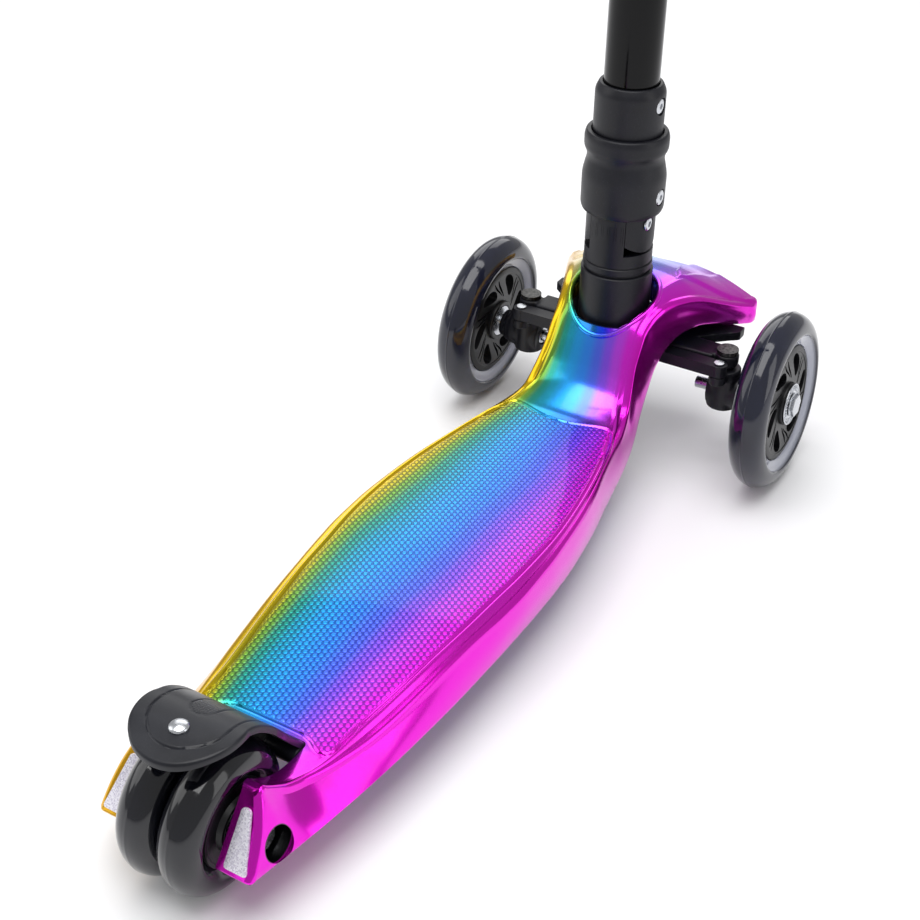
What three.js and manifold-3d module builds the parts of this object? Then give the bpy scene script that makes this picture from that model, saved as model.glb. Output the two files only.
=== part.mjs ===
// A kids' three wheel scooter that steers by leaning. Millimetres, +X forward, +Y to the rider's
// left, +Z up. Inside this file places are counted from the point on the ground under the rear axle.
// At the end the whole scooter is moved so that the origin lies under the middle of its box.
import * as THREE from "three";
import { mergeVertices } from "three/addons/utils/BufferGeometryUtils.js";
import Module from "manifold-3d";

const wasm = await Module();
wasm.setup();

// Wheels
const wheelbase = 468;
const frontTrack = 219;
const frontWheelRadius = 60;
const frontWheelWidth = 24.4;
const frontTyreBore = 45.6;
const frontCamber = 3;
const rearWheelRadius = 40;
const rearWheelWidth = 23.6;
const rearTyreBore = 27;
const rearWheelGap = 1;
const tyreSeat = 0.25;
const hubRadius = 14.6;
const hubRecess = 1.5;
const coreRimWall = 5.5;
const coreWeb = 18.4;
const bearingRadius = 11;
const bearingWidth = 7;
const axleRadius = 4;
const boltHeadRadius = 8.2;
const boltHeadHeight = 3.4;
const boltTail = 11;
const washerRadius = 14.2;
const washerThickness = 1.1;
const nutRadius = 6.6;
const nutHeight = 5.6;

// Running and seating clearances, and the amount by which every cutter overruns
const runningGap = 0.3;
const seatGap = 0.3;
const overrun = 8;

// Deck shell
const deckHalfWidth = 65.5;
const headHeight = 130;
const deckWall = 3.2;
const deckSkin = 3;
const deckRib = 2.8;
const deckRear = 24;
const headReach = 56;
const neckLength = 98;
const shoulderDrop = 4.5;
const edgeRound = 1.6;
const rimLip = 1.2;
const bulkhead = 6;
const headCavityReach = 70;
const frontNotchDepth = 13;
const frontNotchHalf = 24;
const tipRound = 9;

// Rear arms, with the slot that the two rear wheels run in
const slotHalfWidth = 26.2;
const slotFront = 52.6;
const armBoss = 2;
const armBossRadius = 7;
const accessRadius = 9;
const accessFloor = 34;
const armFaceFoot = 22;
const armFaceFootHeight = 31.4;
const armFaceRun = 22;
const armFaceRise = 34;
const reflectorThickness = 1.5;

// Lean pivot and steering
const columnSetback = 27;
const columnX = wheelbase - columnSetback;
const leanHeight = 95;
const leanPinRadius = 4;
const leanBossRadius = 9;
const bulkheadTopRadius = 8.5;
const housingRearReach = 23.5;
const housingFrontReach = 25;
const housingRear = columnX - housingRearReach;
const housingFront = columnX + housingFrontReach;
const bulkheadThickness = 7.5;
const housingHalfWidth = 21;
const housingFloor = 56;
const housingFloorThickness = 4;
const kingpinSetback = 3;
const kingpinX = wheelbase - kingpinSetback;
const crossbarReach = 8;
const crossbarRear = kingpinX - crossbarReach;
const eyeRadius = 8;
const eyeThickness = 9;
const eyeDrop = 8;
const eyeHigh = leanHeight - eyeDrop;
const crossbarLow = eyeHigh - eyeThickness;
const crossbarThickness = 8.4;
const crossbarHigh = crossbarLow + crossbarThickness;
const webSetback = 4.5;
const webLow = 64;
const webEndLow = 70;
const wingPlateThickness = 7;
const wingPlateProud = 4;
const kingpinY = 74;
const barrelRadius = 10.5;
const barrelLow = 47;
const knuckleInboard = 9.5;
const knuckleNeckRadius = 6;
const kingpinRadius = 4;
const kingpinLow = 67;
const kingpinHeadRadius = 7.2;
const kingpinHeadHeight = 2.6;
const steerArm = 14;
const steerArmThickness = 6.5;
const tieRodHeight = leanHeight - steerArm;
const tieRodDepth = 8;
const tieRodWidth = 10;
const tieRodLift = 0.5;
const barrelHigh = tieRodHeight - tieRodDepth / 2 - tieRodLift;
const tieEyeRadius = 5.5;
const tiePinRadius = 2.2;
const tiePinPlay = 0.6;
const tieBlockHalf = 13;
const tieBlockLow = 70;
const driverRadius = 4;
const driverNeckHalf = 2.2;
const axleBossRadius = 12.8;

// Column foot and fold hinge
const columnRadius = 23.4;
const columnFoot = leanHeight + leanBossRadius;
const holePlayAcross = 5.1;
const holePlayAlong = 3.9;
const foldRadius = 22.1;
const foldSetback = 5;
const foldX = columnX - foldSetback;
const foldHeight = 178;
const foldPinRadius = 3;
const foldPinHead = 4.6;
const foldPinHeadHeight = 1.8;
const tongueRadius = 18.6;
const tongueHalf = 12;
const cheekRadius = 19;
const roomDrop = 20.4;
const forkThroat = 21;
const ringDrop = 8.6;
const ringPitch = 6;
const ringHigh = foldHeight - roomDrop - ringDrop;
const ringLow = ringHigh - ringPitch;
const ringProud = 0.4;
const ringDepth = 0.9;
const ringWidth = 2;

// Stem, its lock collar and sleeve
const tubeRadius = 17.1;
const tubeWall = 2.4;
const tubeTop = 500;
const socketRoof = 6;
const socketDepth = 14;
const tubeFoot = foldHeight + forkThroat + socketRoof;
const forkTop = tubeFoot + socketDepth;
const sleeveRadius = 21.8;
const sleeveLength = 46.5;
const sleeveTop = forkTop + sleeveLength;
const sleeveChamfer = 5;
const collarLift = 5;
const collarLength = 52;
const collarLow = foldHeight + collarLift;
const collarTop = collarLow + collarLength;
const collarBore = 22.5;
const collarRadius = 26.6;
const collarWaist = 24.1;
const collarLip = 26.5;
const screwHead = 5.2;
const screwHeadHeight = 1.4;
const screwRadius = 2.6;
const collarScrewRise = 12.5;
const collarScrewHeight = collarLow + collarScrewRise;
const sleeveScrewDrop = 12;
const sleeveScrewHeight = sleeveTop - sleeveScrewDrop;
const screwSetback = 1;
const screwX = columnX - screwSetback;

// Height clamp with its lever
const clampHeight = 32;
const clampLow = tubeTop - clampHeight;
const clampRadius = 22;
const earReach = 34;
const earHalf = 9;
const clampSlit = 2.4;
const clampBoltReach = 27;
const clampBoltX = columnX - clampBoltReach;
const clampBoltRadius = 2.5;
const leverPivotY = 16;
const leverBarrel = 6.2;
const leverHeight = 16;
const leverLength = 58;
const leverThickness = 4.2;
const clampNutRadius = 5;
const clampNutHeight = 4;

// Inner tube and handlebar
const innerRadius = 14.3;
const innerWall = 2;
const innerOverlap = 160;
const innerFoot = tubeTop - innerOverlap;
const barHeight = 655;
const teeRadius = 17.5;
const teeHalf = 32;
const teeSocket = 40;
const barRadius = 11;
const barHalf = 138;
const gripRadius = 15.5;
const gripFlange = 19;
const gripFlangeWidth = 4;
const gripSpacing = 11.5;
const gripEnd = 3.5;

// Rear brake
const fenderHalf = 27;
const fenderLobe = 28.5;
const fenderThickness = 3.6;
const fenderTop = 97.5;
const fenderPinSetback = 6.1;
const fenderPinX = slotFront - fenderPinSetback;
const fenderPinHeight = 46;
const fenderPinRadius = 2.4;
const fenderBarrel = 5;
const fenderBarrelHalf = 25.4;
const fenderSpringHalf = 6;
const fenderPinHalf = 33;
const rivetX = -8;
const rivetHead = 5;
const rivetDome = 2.4;
const rivetRadius = 2.2;
const padLength = 20;
const padHalf = 12;
const padThickness = 5.6;

// Numbers of flats on round pieces
const tyreFlats = 32;
const stemFlats = 28;
const roundFlats = 20;
const smallFlats = 10;
const crownSteps = 6;
const hexFlats = 6;
const windowFlats = 3;
const headSteps = 8;
const archSteps = 6;
const fenderSteps = 14;

// Counts of repeated features
const spokeCount = 6;
const pocketCount = 6;

// The deck from rear to front. Each row starts with its place along the deck: from -1 at the rear axle
// to 0 at the slot's front, from there to 1 at the neck's foot, and then on by shares of neckLength.
// After it come shares: half width and height of the wall's foot; of the outer ridge; of the pad's edge;
// and the height of the middle. Half widths are shares of deckHalfWidth, heights shares of headHeight.
const deckShares = [
  [-1.4563, 0.695, 0.238, 0.556, 0.562, 0.500, 0.565, 0.565],
  [-0.9620, 0.756, 0.231, 0.559, 0.538, 0.500, 0.542, 0.542],
  [-0.8479, 0.773, 0.231, 0.560, 0.496, 0.500, 0.500, 0.500],
  [-0.7148, 0.791, 0.231, 0.566, 0.452, 0.505, 0.457, 0.457],
  [-0.5817, 0.809, 0.231, 0.579, 0.417, 0.515, 0.422, 0.422],
  [-0.4297, 0.828, 0.231, 0.595, 0.394, 0.530, 0.400, 0.400],
  [-0.2395, 0.849, 0.231, 0.641, 0.382, 0.560, 0.389, 0.390],
  [-0.0494, 0.870, 0.231, 0.684, 0.377, 0.585, 0.386, 0.388],
  [0.0548, 0.904, 0.231, 0.754, 0.375, 0.618, 0.395, 0.398],
  [0.1178, 0.931, 0.231, 0.806, 0.384, 0.658, 0.406, 0.410],
  [0.1808, 0.954, 0.231, 0.844, 0.399, 0.702, 0.422, 0.426],
  [0.2596, 0.976, 0.231, 0.884, 0.420, 0.747, 0.441, 0.444],
  [0.3384, 0.989, 0.231, 0.922, 0.432, 0.794, 0.455, 0.458],
  [0.4171, 0.998, 0.231, 0.965, 0.439, 0.824, 0.463, 0.466],
  [0.4959, 1.000, 0.231, 0.989, 0.448, 0.858, 0.472, 0.475],
  [0.5747, 0.995, 0.231, 0.986, 0.455, 0.870, 0.476, 0.479],
  [0.6534, 0.976, 0.231, 0.960, 0.458, 0.861, 0.476, 0.479],
  [0.7322, 0.934, 0.231, 0.921, 0.461, 0.824, 0.477, 0.480],
  [0.8110, 0.876, 0.231, 0.855, 0.464, 0.769, 0.477, 0.480],
  [0.8897, 0.800, 0.231, 0.769, 0.468, 0.701, 0.479, 0.483],
  [0.9527, 0.745, 0.235, 0.711, 0.471, 0.634, 0.482, 0.486],
  [1.0000, 0.708, 0.246, 0.673, 0.475, 0.534, 0.488, 0.495],
  [1.1020, 0.684, 0.262, 0.635, 0.484, 0.489, 0.508, 0.523],
  [1.2041, 0.656, 0.285, 0.588, 0.512, 0.427, 0.546, 0.569],
  [1.3061, 0.626, 0.331, 0.540, 0.608, 0.382, 0.631, 0.654],
  [1.4082, 0.595, 0.408, 0.501, 0.738, 0.336, 0.754, 0.769],
  [1.5102, 0.580, 0.500, 0.499, 0.846, 0.321, 0.862, 0.869],
  [1.6122, 0.573, 0.592, 0.527, 0.905, 0.336, 0.923, 0.935],
  [1.7143, 0.595, 0.665, 0.573, 0.934, 0.366, 0.958, 0.973],
  [1.8163, 0.641, 0.719, 0.629, 0.942, 0.397, 0.977, 0.992],
  [1.9184, 0.702, 0.742, 0.693, 0.935, 0.427, 0.981, 1.000],
  [2.0204, 0.769, 0.746, 0.760, 0.917, 0.458, 0.977, 0.997],
  [2.1224, 0.840, 0.731, 0.832, 0.887, 0.489, 0.958, 0.985],
  [2.2245, 0.910, 0.708, 0.902, 0.852, 0.519, 0.935, 0.965],
  [2.3265, 0.980, 0.681, 0.973, 0.817, 0.550, 0.904, 0.938],
  [2.4286, 1.047, 0.658, 1.041, 0.787, 0.580, 0.869, 0.908],
  [2.5102, 1.092, 0.646, 1.084, 0.768, 0.595, 0.846, 0.885],
  [2.5816, 1.092, 0.646, 1.076, 0.758, 0.595, 0.831, 0.862],
];

// Shares of a tyre's width taken by its straight side and by the core inside it
const tyreSideShare = 0.42;
const coreWidthShare = 0.4;

// A front core's window: shares of one spoke's turn at its inner edge, waist and outer edge
const windowShares = {
  innerStartShare: 0.32, waistStartShare: 0.12, outerStartShare: 0.34, outerMiddleShare: 0.62,
  outerEndShare: 0.86, waistEndShare: 0.84, innerEndShare: 0.62,
};

// A reflector: shares of the slanted face's length, and of deckHalfWidth
const reflectorShares = [[0.08, 0.66], [0.08, 0.45], [0.84, 0.47], [0.84, 0.545]];

// The lever's blade: shares of its length where it thins towards the tip
const bladeShares = { innerBendShare: 0.8, innerPullShare: 0.92, outerPullShare: 0.9, outerBendShare: 0.78 };

// The collar's outline from its low end: shares of its height and of the waist's depth
const collarShares = [[0, 0.5], [0.06, 1], [0.46, 1], [0.57, 0.45], [0.665, 0]];
const collarLipShares = [[0.72, 0.2], [0.8, 1], [0.94, 1], [1, 0.65]];

// The rivet's dome: shares of its head radius and of its height
const domeShares = [[1, 0], [0.86, 0.5], [0.5, 0.88], [0, 1]];

// How deep the screws' seats lie below the round faces, as shares of the heads' height: the sleeve's
// screw lies flush, so that the collar passes over it
const collarSeatShare = 1.2;
const sleeveSeatShare = 1.6;

// Where the fender's straight side meets its round lobe, as shares of the lobe's radius and of pi
const lobeStartShare = 0.3;
const lobeTurnShares = [0.4, 1.6];

// The height of the fender's top along its run, as shares of the lobe's radius and of fenderTop
const fenderShares = [
  [-1.00, 0.964], [-0.62, 0.993], [-0.25, 1.000], [0.20, 0.992], [0.56, 0.947],
  [0.90, 0.862], [1.20, 0.755], [1.45, 0.656], [1.66, 0.580], [1.77, 0.540],
];

const paint = {
  plated: { color: 0x7a4fd8, roughness: 0.2, metalness: 0.85 },
  nylon: { color: 0x18181a, roughness: 0.6, metalness: 0 },
  urethane: { color: 0x2b2d3a, roughness: 0.15, metalness: 0 },
  core: { color: 0x1b1b1d, roughness: 0.4, metalness: 0 },
  steel: { color: 0xc4c6c8, roughness: 0.3, metalness: 1 },
  tube: { color: 0x0c0c0d, roughness: 0.25, metalness: 0.3 },
  rubber: { color: 0x121213, roughness: 0.85, metalness: 0 },
  reflector: { color: 0xd9d7df, roughness: 0.25, metalness: 0.3 },
};

const scooter = new THREE.Group();

// Makes one closed body of a geometry: shared vertices merged, slivers dropped, faces outwards
function closedBody(geometry) {
  const plain = geometry.index ? geometry.toNonIndexed() : geometry.clone();
  plain.deleteAttribute("normal");
  plain.deleteAttribute("uv");
  const merged = mergeVertices(plain, 1e-5 * wheelbase);
  const place = merged.attributes.position;
  const corner = (i) => new THREE.Vector3().fromBufferAttribute(place, i);
  const kept = [];
  let volume = 0;
  for (let i = 0; i < merged.index.count; i += 3) {
    const [a, b, c] = [0, 1, 2].map((k) => merged.index.getX(i + k));
    if (a === b || b === c || c === a) continue;
    kept.push(a, b, c);
    volume += corner(a).dot(corner(b).cross(corner(c)));
  }
  if (volume < 0) {
    for (let i = 0; i < kept.length; i += 3) {
      [kept[i], kept[i + 1]] = [kept[i + 1], kept[i]];
    }
  }
  merged.setIndex(kept);
  return merged;
}

function toSolid(geometry) {
  const body = closedBody(geometry);
  const vertProperties = new Float32Array(body.attributes.position.array);
  const triVerts = new Uint32Array(body.index.array);
  return new wasm.Manifold(new wasm.Mesh({ numProp: 3, vertProperties, triVerts }));
}

function toGeometry(solid) {
  const mesh = solid.getMesh();
  const geometry = new THREE.BufferGeometry();
  geometry.setAttribute("position", new THREE.BufferAttribute(mesh.vertProperties, 3));
  geometry.setIndex(new THREE.BufferAttribute(mesh.triVerts, 1));
  return geometry;
}

function join(...geometries) {
  return toGeometry(geometries.map(toSolid).reduce((sum, next) => sum.add(next)));
}

function cut(base, ...cutters) {
  return toGeometry(cutters.map(toSolid).reduce((rest, next) => rest.subtract(next), toSolid(base)));
}

function common(first, second) {
  return toGeometry(toSolid(first).intersect(toSolid(second)));
}

function mirrored(geometry) {
  return geometry.clone().scale(1, -1, 1);
}

function add(name, geometry, look) {
  const body = closedBody(geometry);
  body.computeVertexNormals();
  const mesh = new THREE.Mesh(body, new THREE.MeshStandardMaterial(paint[look]));
  mesh.name = name;
  scooter.add(mesh);
  return mesh;
}

function addPair(name, rightGeometry, look) {
  add(`right_${name}`, rightGeometry, look);
  add(`left_${name}`, mirrored(rightGeometry), look);
}

// A box from its low corner to its high corner
function block(lowX, lowY, lowZ, highX, highY, highZ) {
  const box = new THREE.BoxGeometry(highX - lowX, highY - lowY, highZ - lowZ);
  return box.translate((lowX + highX) / 2, (lowY + highY) / 2, (lowZ + highZ) / 2);
}

// Round bars along each axis, from one end to the other, through a point of the other two axes
function barAlongX(radius, from, to, y, z, flats = roundFlats) {
  const bar = new THREE.CylinderGeometry(radius, radius, to - from, flats).rotateZ(-Math.PI / 2);
  return bar.translate((from + to) / 2, y, z);
}

function barAlongY(radius, from, to, x, z, flats = roundFlats) {
  return new THREE.CylinderGeometry(radius, radius, to - from, flats).translate(x, (from + to) / 2, z);
}

function barAlongZ(radius, from, to, x, y, flats = roundFlats) {
  const bar = new THREE.CylinderGeometry(radius, radius, to - from, flats).rotateX(Math.PI / 2);
  return bar.translate(x, y, (from + to) / 2);
}

// A turned piece about the Y axis. Each point is [radius, place along the axis].
function turned(points, flats) {
  return new THREE.LatheGeometry(points.map(([r, y]) => new THREE.Vector2(r, y)), flats);
}

// A turned ring: the profile closes on itself
function turnedRing(points, flats) {
  return turned([...points, points[0]], flats);
}

function upright(geometry, x) {
  return geometry.rotateX(Math.PI / 2).translate(x, 0, 0);
}

function shapeOf(points) {
  return new THREE.Shape(points.map(([x, y]) => new THREE.Vector2(x, y)));
}

// A plan outline in X and Y, raised from one height to another
function slab(shape, low, high) {
  const solid = new THREE.ExtrudeGeometry(shape, { depth: high - low, bevelEnabled: false });
  return solid.translate(0, 0, low);
}

// A side outline in X and Z, as wide as given to both sides of the middle plane
function sideSlab(shape, halfWidth) {
  const solid = new THREE.ExtrudeGeometry(shape, { depth: 2 * halfWidth, bevelEnabled: false });
  return solid.rotateX(Math.PI / 2).translate(0, halfWidth, 0);
}

// An outline seen from the front, in Y and Z, from one place along X to another
function frontSlab(points, from, to) {
  const solid = new THREE.ExtrudeGeometry(shapeOf(points), { depth: to - from, bevelEnabled: false });
  const turn = new THREE.Matrix4().makeBasis(
    new THREE.Vector3(0, 1, 0), new THREE.Vector3(0, 0, 1), new THREE.Vector3(1, 0, 0));
  return solid.applyMatrix4(turn).translate(from, 0, 0);
}

// A solid through closed rings of [y, z] points, one ring at each place along X
function loft(places, rings) {
  const count = rings[0].length;
  const position = [];
  const index = [];
  rings.forEach((ring, s) => ring.forEach(([y, z]) => position.push(places[s], y, z)));
  for (let s = 0; s + 1 < rings.length; s += 1) {
    for (let k = 0; k < count; k += 1) {
      const a = s * count + k;
      const b = s * count + ((k + 1) % count);
      index.push(a, b, a + count, b, b + count, a + count);
    }
  }
  const endCap = (ring, start, flip) => {
    const flat = ring.map(([y, z]) => new THREE.Vector2(y, z));
    for (const [a, b, c] of THREE.ShapeUtils.triangulateShape(flat, [])) {
      index.push(start + a, start + (flip ? c : b), start + (flip ? b : c));
    }
  };
  endCap(rings[0], 0, true);
  endCap(rings[rings.length - 1], (rings.length - 1) * count, false);
  const geometry = new THREE.BufferGeometry();
  geometry.setAttribute("position", new THREE.Float32BufferAttribute(position, 3));
  geometry.setIndex(index);
  return geometry;
}

// Where the rows of the deck's table lie: arms and head keep their length when the wheelbase changes
const neckFoot = wheelbase - neckLength;
const deckPlaces = deckShares.map(([share]) => {
  if (share < 0) return slotFront * (1 + share);
  return share < 1 ? slotFront + share * (neckFoot - slotFront) : neckFoot + (share - 1) * neckLength;
});

// The sizes of the deck's section at one place, between the rows of the table
function sectionAt(x) {
  let row = 1;
  while (row < deckShares.length - 1 && deckPlaces[row] < x) row += 1;
  const low = deckShares[row - 1];
  const high = deckShares[row];
  const part = (x - deckPlaces[row - 1]) / (deckPlaces[row] - deckPlaces[row - 1]);
  const at = (k) => low[k] + (high[k] - low[k]) * part;
  return {
    foot: at(1) * deckHalfWidth,
    footHeight: at(2) * headHeight,
    ridge: at(3) * deckHalfWidth,
    ridgeHeight: at(4) * headHeight,
    pad: at(5) * deckHalfWidth,
    padHeight: at(6) * headHeight,
    middleHeight: at(7) * headHeight,
  };
}

function symmetricRing(half, lowMiddle, highMiddle) {
  const other = half.map(([y, z]) => [-y, z]).reverse();
  return [[0, lowMiddle], ...half, [0, highMiddle], ...other];
}

function deckRing(x) {
  const s = sectionAt(x);
  const half = [
    [s.foot - edgeRound, s.footHeight],
    [s.foot, s.footHeight + edgeRound],
    [(s.foot + s.ridge) / 2 + rimLip / 2, (s.footHeight + s.ridgeHeight) / 2],
    [s.ridge + rimLip / 2, s.ridgeHeight - shoulderDrop],
    [s.ridge, s.ridgeHeight - rimLip],
    [s.ridge - edgeRound, s.ridgeHeight],
    [s.pad + edgeRound, s.padHeight],
    [s.pad, s.padHeight - rimLip / 2],
    [s.pad / 2, (s.padHeight + s.middleHeight) / 2],
  ];
  return symmetricRing(half, s.footHeight, s.middleHeight);
}

function deckOuter() {
  return loft(deckPlaces, deckPlaces.map(deckRing));
}

// A pocket in the underside, between two ribs, on one side of the middle rib
function deckPocket(from, to, side) {
  const ring = (x) => {
    const s = sectionAt(x);
    const points = [
      [deckRib / 2, s.footHeight - overrun],
      [s.foot - deckWall, s.footHeight - overrun],
      [s.foot - deckWall, s.footHeight],
      [s.ridge - deckWall, s.ridgeHeight - shoulderDrop - deckWall],
      [s.pad - deckWall, s.padHeight - deckSkin],
      [deckRib / 2, s.padHeight - deckSkin],
    ];
    return side > 0 ? points : points.map(([y, z]) => [-y, z]).reverse();
  };
  const places = [from, (from + to) / 2, to];
  return loft(places, places.map(ring));
}

function deckPockets() {
  const start = slotFront + bulkhead;
  const end = wheelbase - headCavityReach - bulkhead;
  const pitch = (end - start + deckRib) / pocketCount;
  const pockets = [];
  for (let k = 0; k < pocketCount; k += 1) {
    const from = start + k * pitch;
    for (const side of [1, -1]) pockets.push(deckPocket(from, from + pitch - deckRib, side));
  }
  return pockets;
}

// The hollow under the neck and the wings
function headCavity() {
  const start = wheelbase - headCavityReach;
  const end = wheelbase + headReach - frontNotchDepth - 2 * deckWall;
  const places = Array.from({ length: headSteps + 1 }, (_, k) => start + ((end - start) * k) / headSteps);
  const ring = (x) => {
    const s = sectionAt(x);
    const wall = Math.min(s.foot, s.ridge) - deckWall;
    const half = [
      [wall, s.footHeight - overrun],
      [wall, s.ridgeHeight - shoulderDrop - deckSkin],
      [wall - deckWall, s.ridgeHeight - deckSkin],
      [s.pad, s.padHeight - deckSkin - rimLip],
    ];
    return symmetricRing(half, s.footHeight - overrun, s.middleHeight - deckSkin - rimLip);
  };
  return loft(places, places.map(ring));
}

// Everything in front of the head's shallow notch and outside its round tips
function frontTrim() {
  const reach = wheelbase + headReach;
  const tip = sectionAt(reach).foot;
  const far = reach + 2 * overrun;
  const wide = tip + 2 * overrun;
  const shape = new THREE.Shape();
  shape.moveTo(far, -wide);
  shape.lineTo(far, wide);
  shape.lineTo(reach - tipRound, wide);
  shape.lineTo(reach - tipRound, tip);
  shape.quadraticCurveTo(reach, tip, reach, tip - tipRound);
  shape.lineTo(reach, frontNotchHalf);
  shape.quadraticCurveTo(reach - frontNotchDepth, frontNotchHalf / 2, reach - frontNotchDepth, 0);
  shape.quadraticCurveTo(reach - frontNotchDepth, -frontNotchHalf / 2, reach, -frontNotchHalf);
  shape.lineTo(reach, -tip + tipRound);
  shape.quadraticCurveTo(reach, -tip, reach - tipRound, -tip);
  shape.lineTo(reach - tipRound, -wide);
  return slab(shape, -overrun, headHeight + overrun);
}

// The slanted rear ends of the arms
function rearTrim() {
  const slope = armFaceRun / armFaceRise;
  const topX = -armFaceFoot + (headHeight - armFaceFootHeight) * slope;
  const lowX = -armFaceFoot - armFaceFootHeight * slope;
  const far = -deckRear - 4 * overrun;
  const shape = shapeOf([[far, 0], [lowX, 0], [topX, headHeight], [far, headHeight]]);
  return sideSlab(shape, deckHalfWidth);
}

function stemHole() {
  const hole = barAlongZ(1, leanHeight, headHeight + overrun, 0, 0, tyreFlats);
  hole.scale(columnRadius + holePlayAlong, columnRadius + holePlayAcross, 1);
  return hole.translate(columnX, 0, 0);
}

function deckShell() {
  const low = deckOuter();
  const slot = block(-deckRear - overrun, -slotHalfWidth, -overrun, slotFront, slotHalfWidth, headHeight);
  const shaft = barAlongY(axleRadius + runningGap, -deckHalfWidth, deckHalfWidth, 0, rearWheelRadius,
    smallFlats);
  const pin = barAlongY(fenderPinRadius + runningGap, -fenderPinHalf - seatGap, fenderPinHalf + seatGap,
    fenderPinX, fenderPinHeight, smallFlats);
  const access = barAlongY(accessRadius, -deckHalfWidth - overrun, -accessFloor, 0, rearWheelRadius);
  const body = cut(low, slot, rearTrim(), frontTrim(), headCavity(), stemHole(), ...deckPockets());
  const bosses = [-1, 1].map((side) => barAlongY(armBossRadius,
    Math.min(side * (slotHalfWidth - armBoss), side * (slotHalfWidth + edgeRound)),
    Math.max(side * (slotHalfWidth - armBoss), side * (slotHalfWidth + edgeRound)), 0, rearWheelRadius));
  return cut(join(body, ...bosses), shaft, pin, access, mirrored(access));
}

add("deck_shell", deckShell(), "plated");

// Reflectors on the slanted rear faces of the arms
function reflector() {
  const length = Math.hypot(armFaceRun, armFaceRise);
  const along = new THREE.Vector3(armFaceRun, 0, armFaceRise).normalize();
  const across = new THREE.Vector3(0, 1, 0);
  const out = along.clone().cross(across);
  const shape = shapeOf(reflectorShares.map(([run, half]) => [run * length, -half * deckHalfWidth]));
  const plate = new THREE.ExtrudeGeometry(shape, { depth: reflectorThickness, bevelEnabled: false });
  plate.translate(0, 0, seatGap);
  plate.applyMatrix4(new THREE.Matrix4().makeBasis(along, across, out));
  return plate.translate(-armFaceFoot, 0, armFaceFootHeight);
}

addPair("reflector", reflector(), "reflector");

// Wheels: a tyre with a round crown, a core with bean shaped windows, and two bearings
function tyre(radius, bore, width) {
  const crown = width / 2;
  const points = [[bore, -width * tyreSideShare], [bore, width * tyreSideShare]];
  for (let k = 0; k <= crownSteps; k += 1) {
    const angle = Math.PI / 2 - (Math.PI * k) / crownSteps;
    points.push([radius - crown + crown * Math.cos(angle), crown * Math.sin(angle)]);
  }
  return turnedRing(points, tyreFlats);
}

function beanWindow(inner, outer, turn) {
  const span = (2 * Math.PI) / spokeCount;
  const corner = (radius, share) => {
    const angle = turn + span * share;
    return [radius * Math.cos(angle), radius * Math.sin(angle)];
  };
  const middle = (inner + outer) / 2;
  const shares = windowShares;
  const window = new THREE.Path();
  window.moveTo(...corner(inner, shares.innerStartShare));
  const bend = (radius, share, endRadius, endShare) => {
    window.quadraticCurveTo(...corner(radius, share), ...corner(endRadius, endShare));
  };
  bend(middle, shares.waistStartShare, outer, shares.outerStartShare);
  bend(outer, shares.outerMiddleShare, outer, shares.outerEndShare);
  bend(middle, shares.waistEndShare, inner, shares.innerEndShare);
  window.closePath();
  return window;
}

const hubHalf = frontWheelWidth / 2 - hubRecess;

function frontCore() {
  const outer = frontTyreBore - tyreSeat;
  const edge = Array.from({ length: tyreFlats }, (_, k) => {
    const angle = (2 * Math.PI * k) / tyreFlats;
    return [(outer - coreRimWall / 2) * Math.cos(angle), (outer - coreRimWall / 2) * Math.sin(angle)];
  });
  const disc = shapeOf(edge);
  for (let k = 0; k < spokeCount; k += 1) {
    const turn = (2 * Math.PI * k) / spokeCount;
    disc.holes.push(beanWindow(hubRadius + 2 * edgeRound, outer - coreRimWall, turn));
  }
  const options = { depth: coreWeb, bevelEnabled: false, curveSegments: windowFlats };
  const web = new THREE.ExtrudeGeometry(disc, options);
  web.translate(0, 0, -coreWeb / 2).rotateX(Math.PI / 2);
  const rimHalf = frontWheelWidth * coreWidthShare;
  const rim = turnedRing([
    [outer - coreRimWall, -rimHalf], [outer, -rimHalf], [outer, rimHalf], [outer - coreRimWall, rimHalf],
  ], tyreFlats);
  const hub = barAlongY(hubRadius, -hubHalf, hubHalf, 0, 0);
  const bore = barAlongY(axleRadius + 2 * edgeRound, -hubHalf - overrun, hubHalf + overrun, 0, 0);
  const seats = [-1, 1].map((side) => {
    const inner = side * (hubHalf - bearingWidth - seatGap);
    const outside = side * (hubHalf + overrun);
    return barAlongY(bearingRadius + tyreSeat, Math.min(inner, outside), Math.max(inner, outside), 0, 0);
  });
  return cut(join(web, rim, hub), bore, ...seats);
}

function bearing() {
  const half = bearingWidth / 2;
  const inner = axleRadius + runningGap;
  return turnedRing([
    [inner, -half], [bearingRadius, -half], [bearingRadius, half], [inner, half],
  ], roundFlats);
}

function hexNut(radius, from, to, bore) {
  const ring = barAlongY(radius, from, to, 0, 0, hexFlats);
  return bore ? cut(ring, barAlongY(bore, from - overrun, to + overrun, 0, 0, smallFlats)) : ring;
}

// Wheel, bolt and knuckle boss are laid out about the wheel's middle and then leaned by the camber
const frontAxleHeight = (frontWheelRadius - frontWheelWidth / 2)
  * Math.cos(THREE.MathUtils.degToRad(frontCamber)) + frontWheelWidth / 2;

function atRightFrontWheel(geometry) {
  geometry.rotateX(THREE.MathUtils.degToRad(-frontCamber));
  return geometry.translate(wheelbase, -frontTrack / 2, frontAxleHeight);
}

const washerOut = hubHalf + seatGap + washerThickness;
const boltHeadOut = washerOut + seatGap + boltHeadHeight;
const bossFace = hubHalf + seatGap + 2 * washerThickness;
const kingpinInboard = frontTrack / 2 - kingpinY;
const bossEnd = kingpinInboard + knuckleInboard;
const nutFace = bossEnd - nutHeight;

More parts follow.
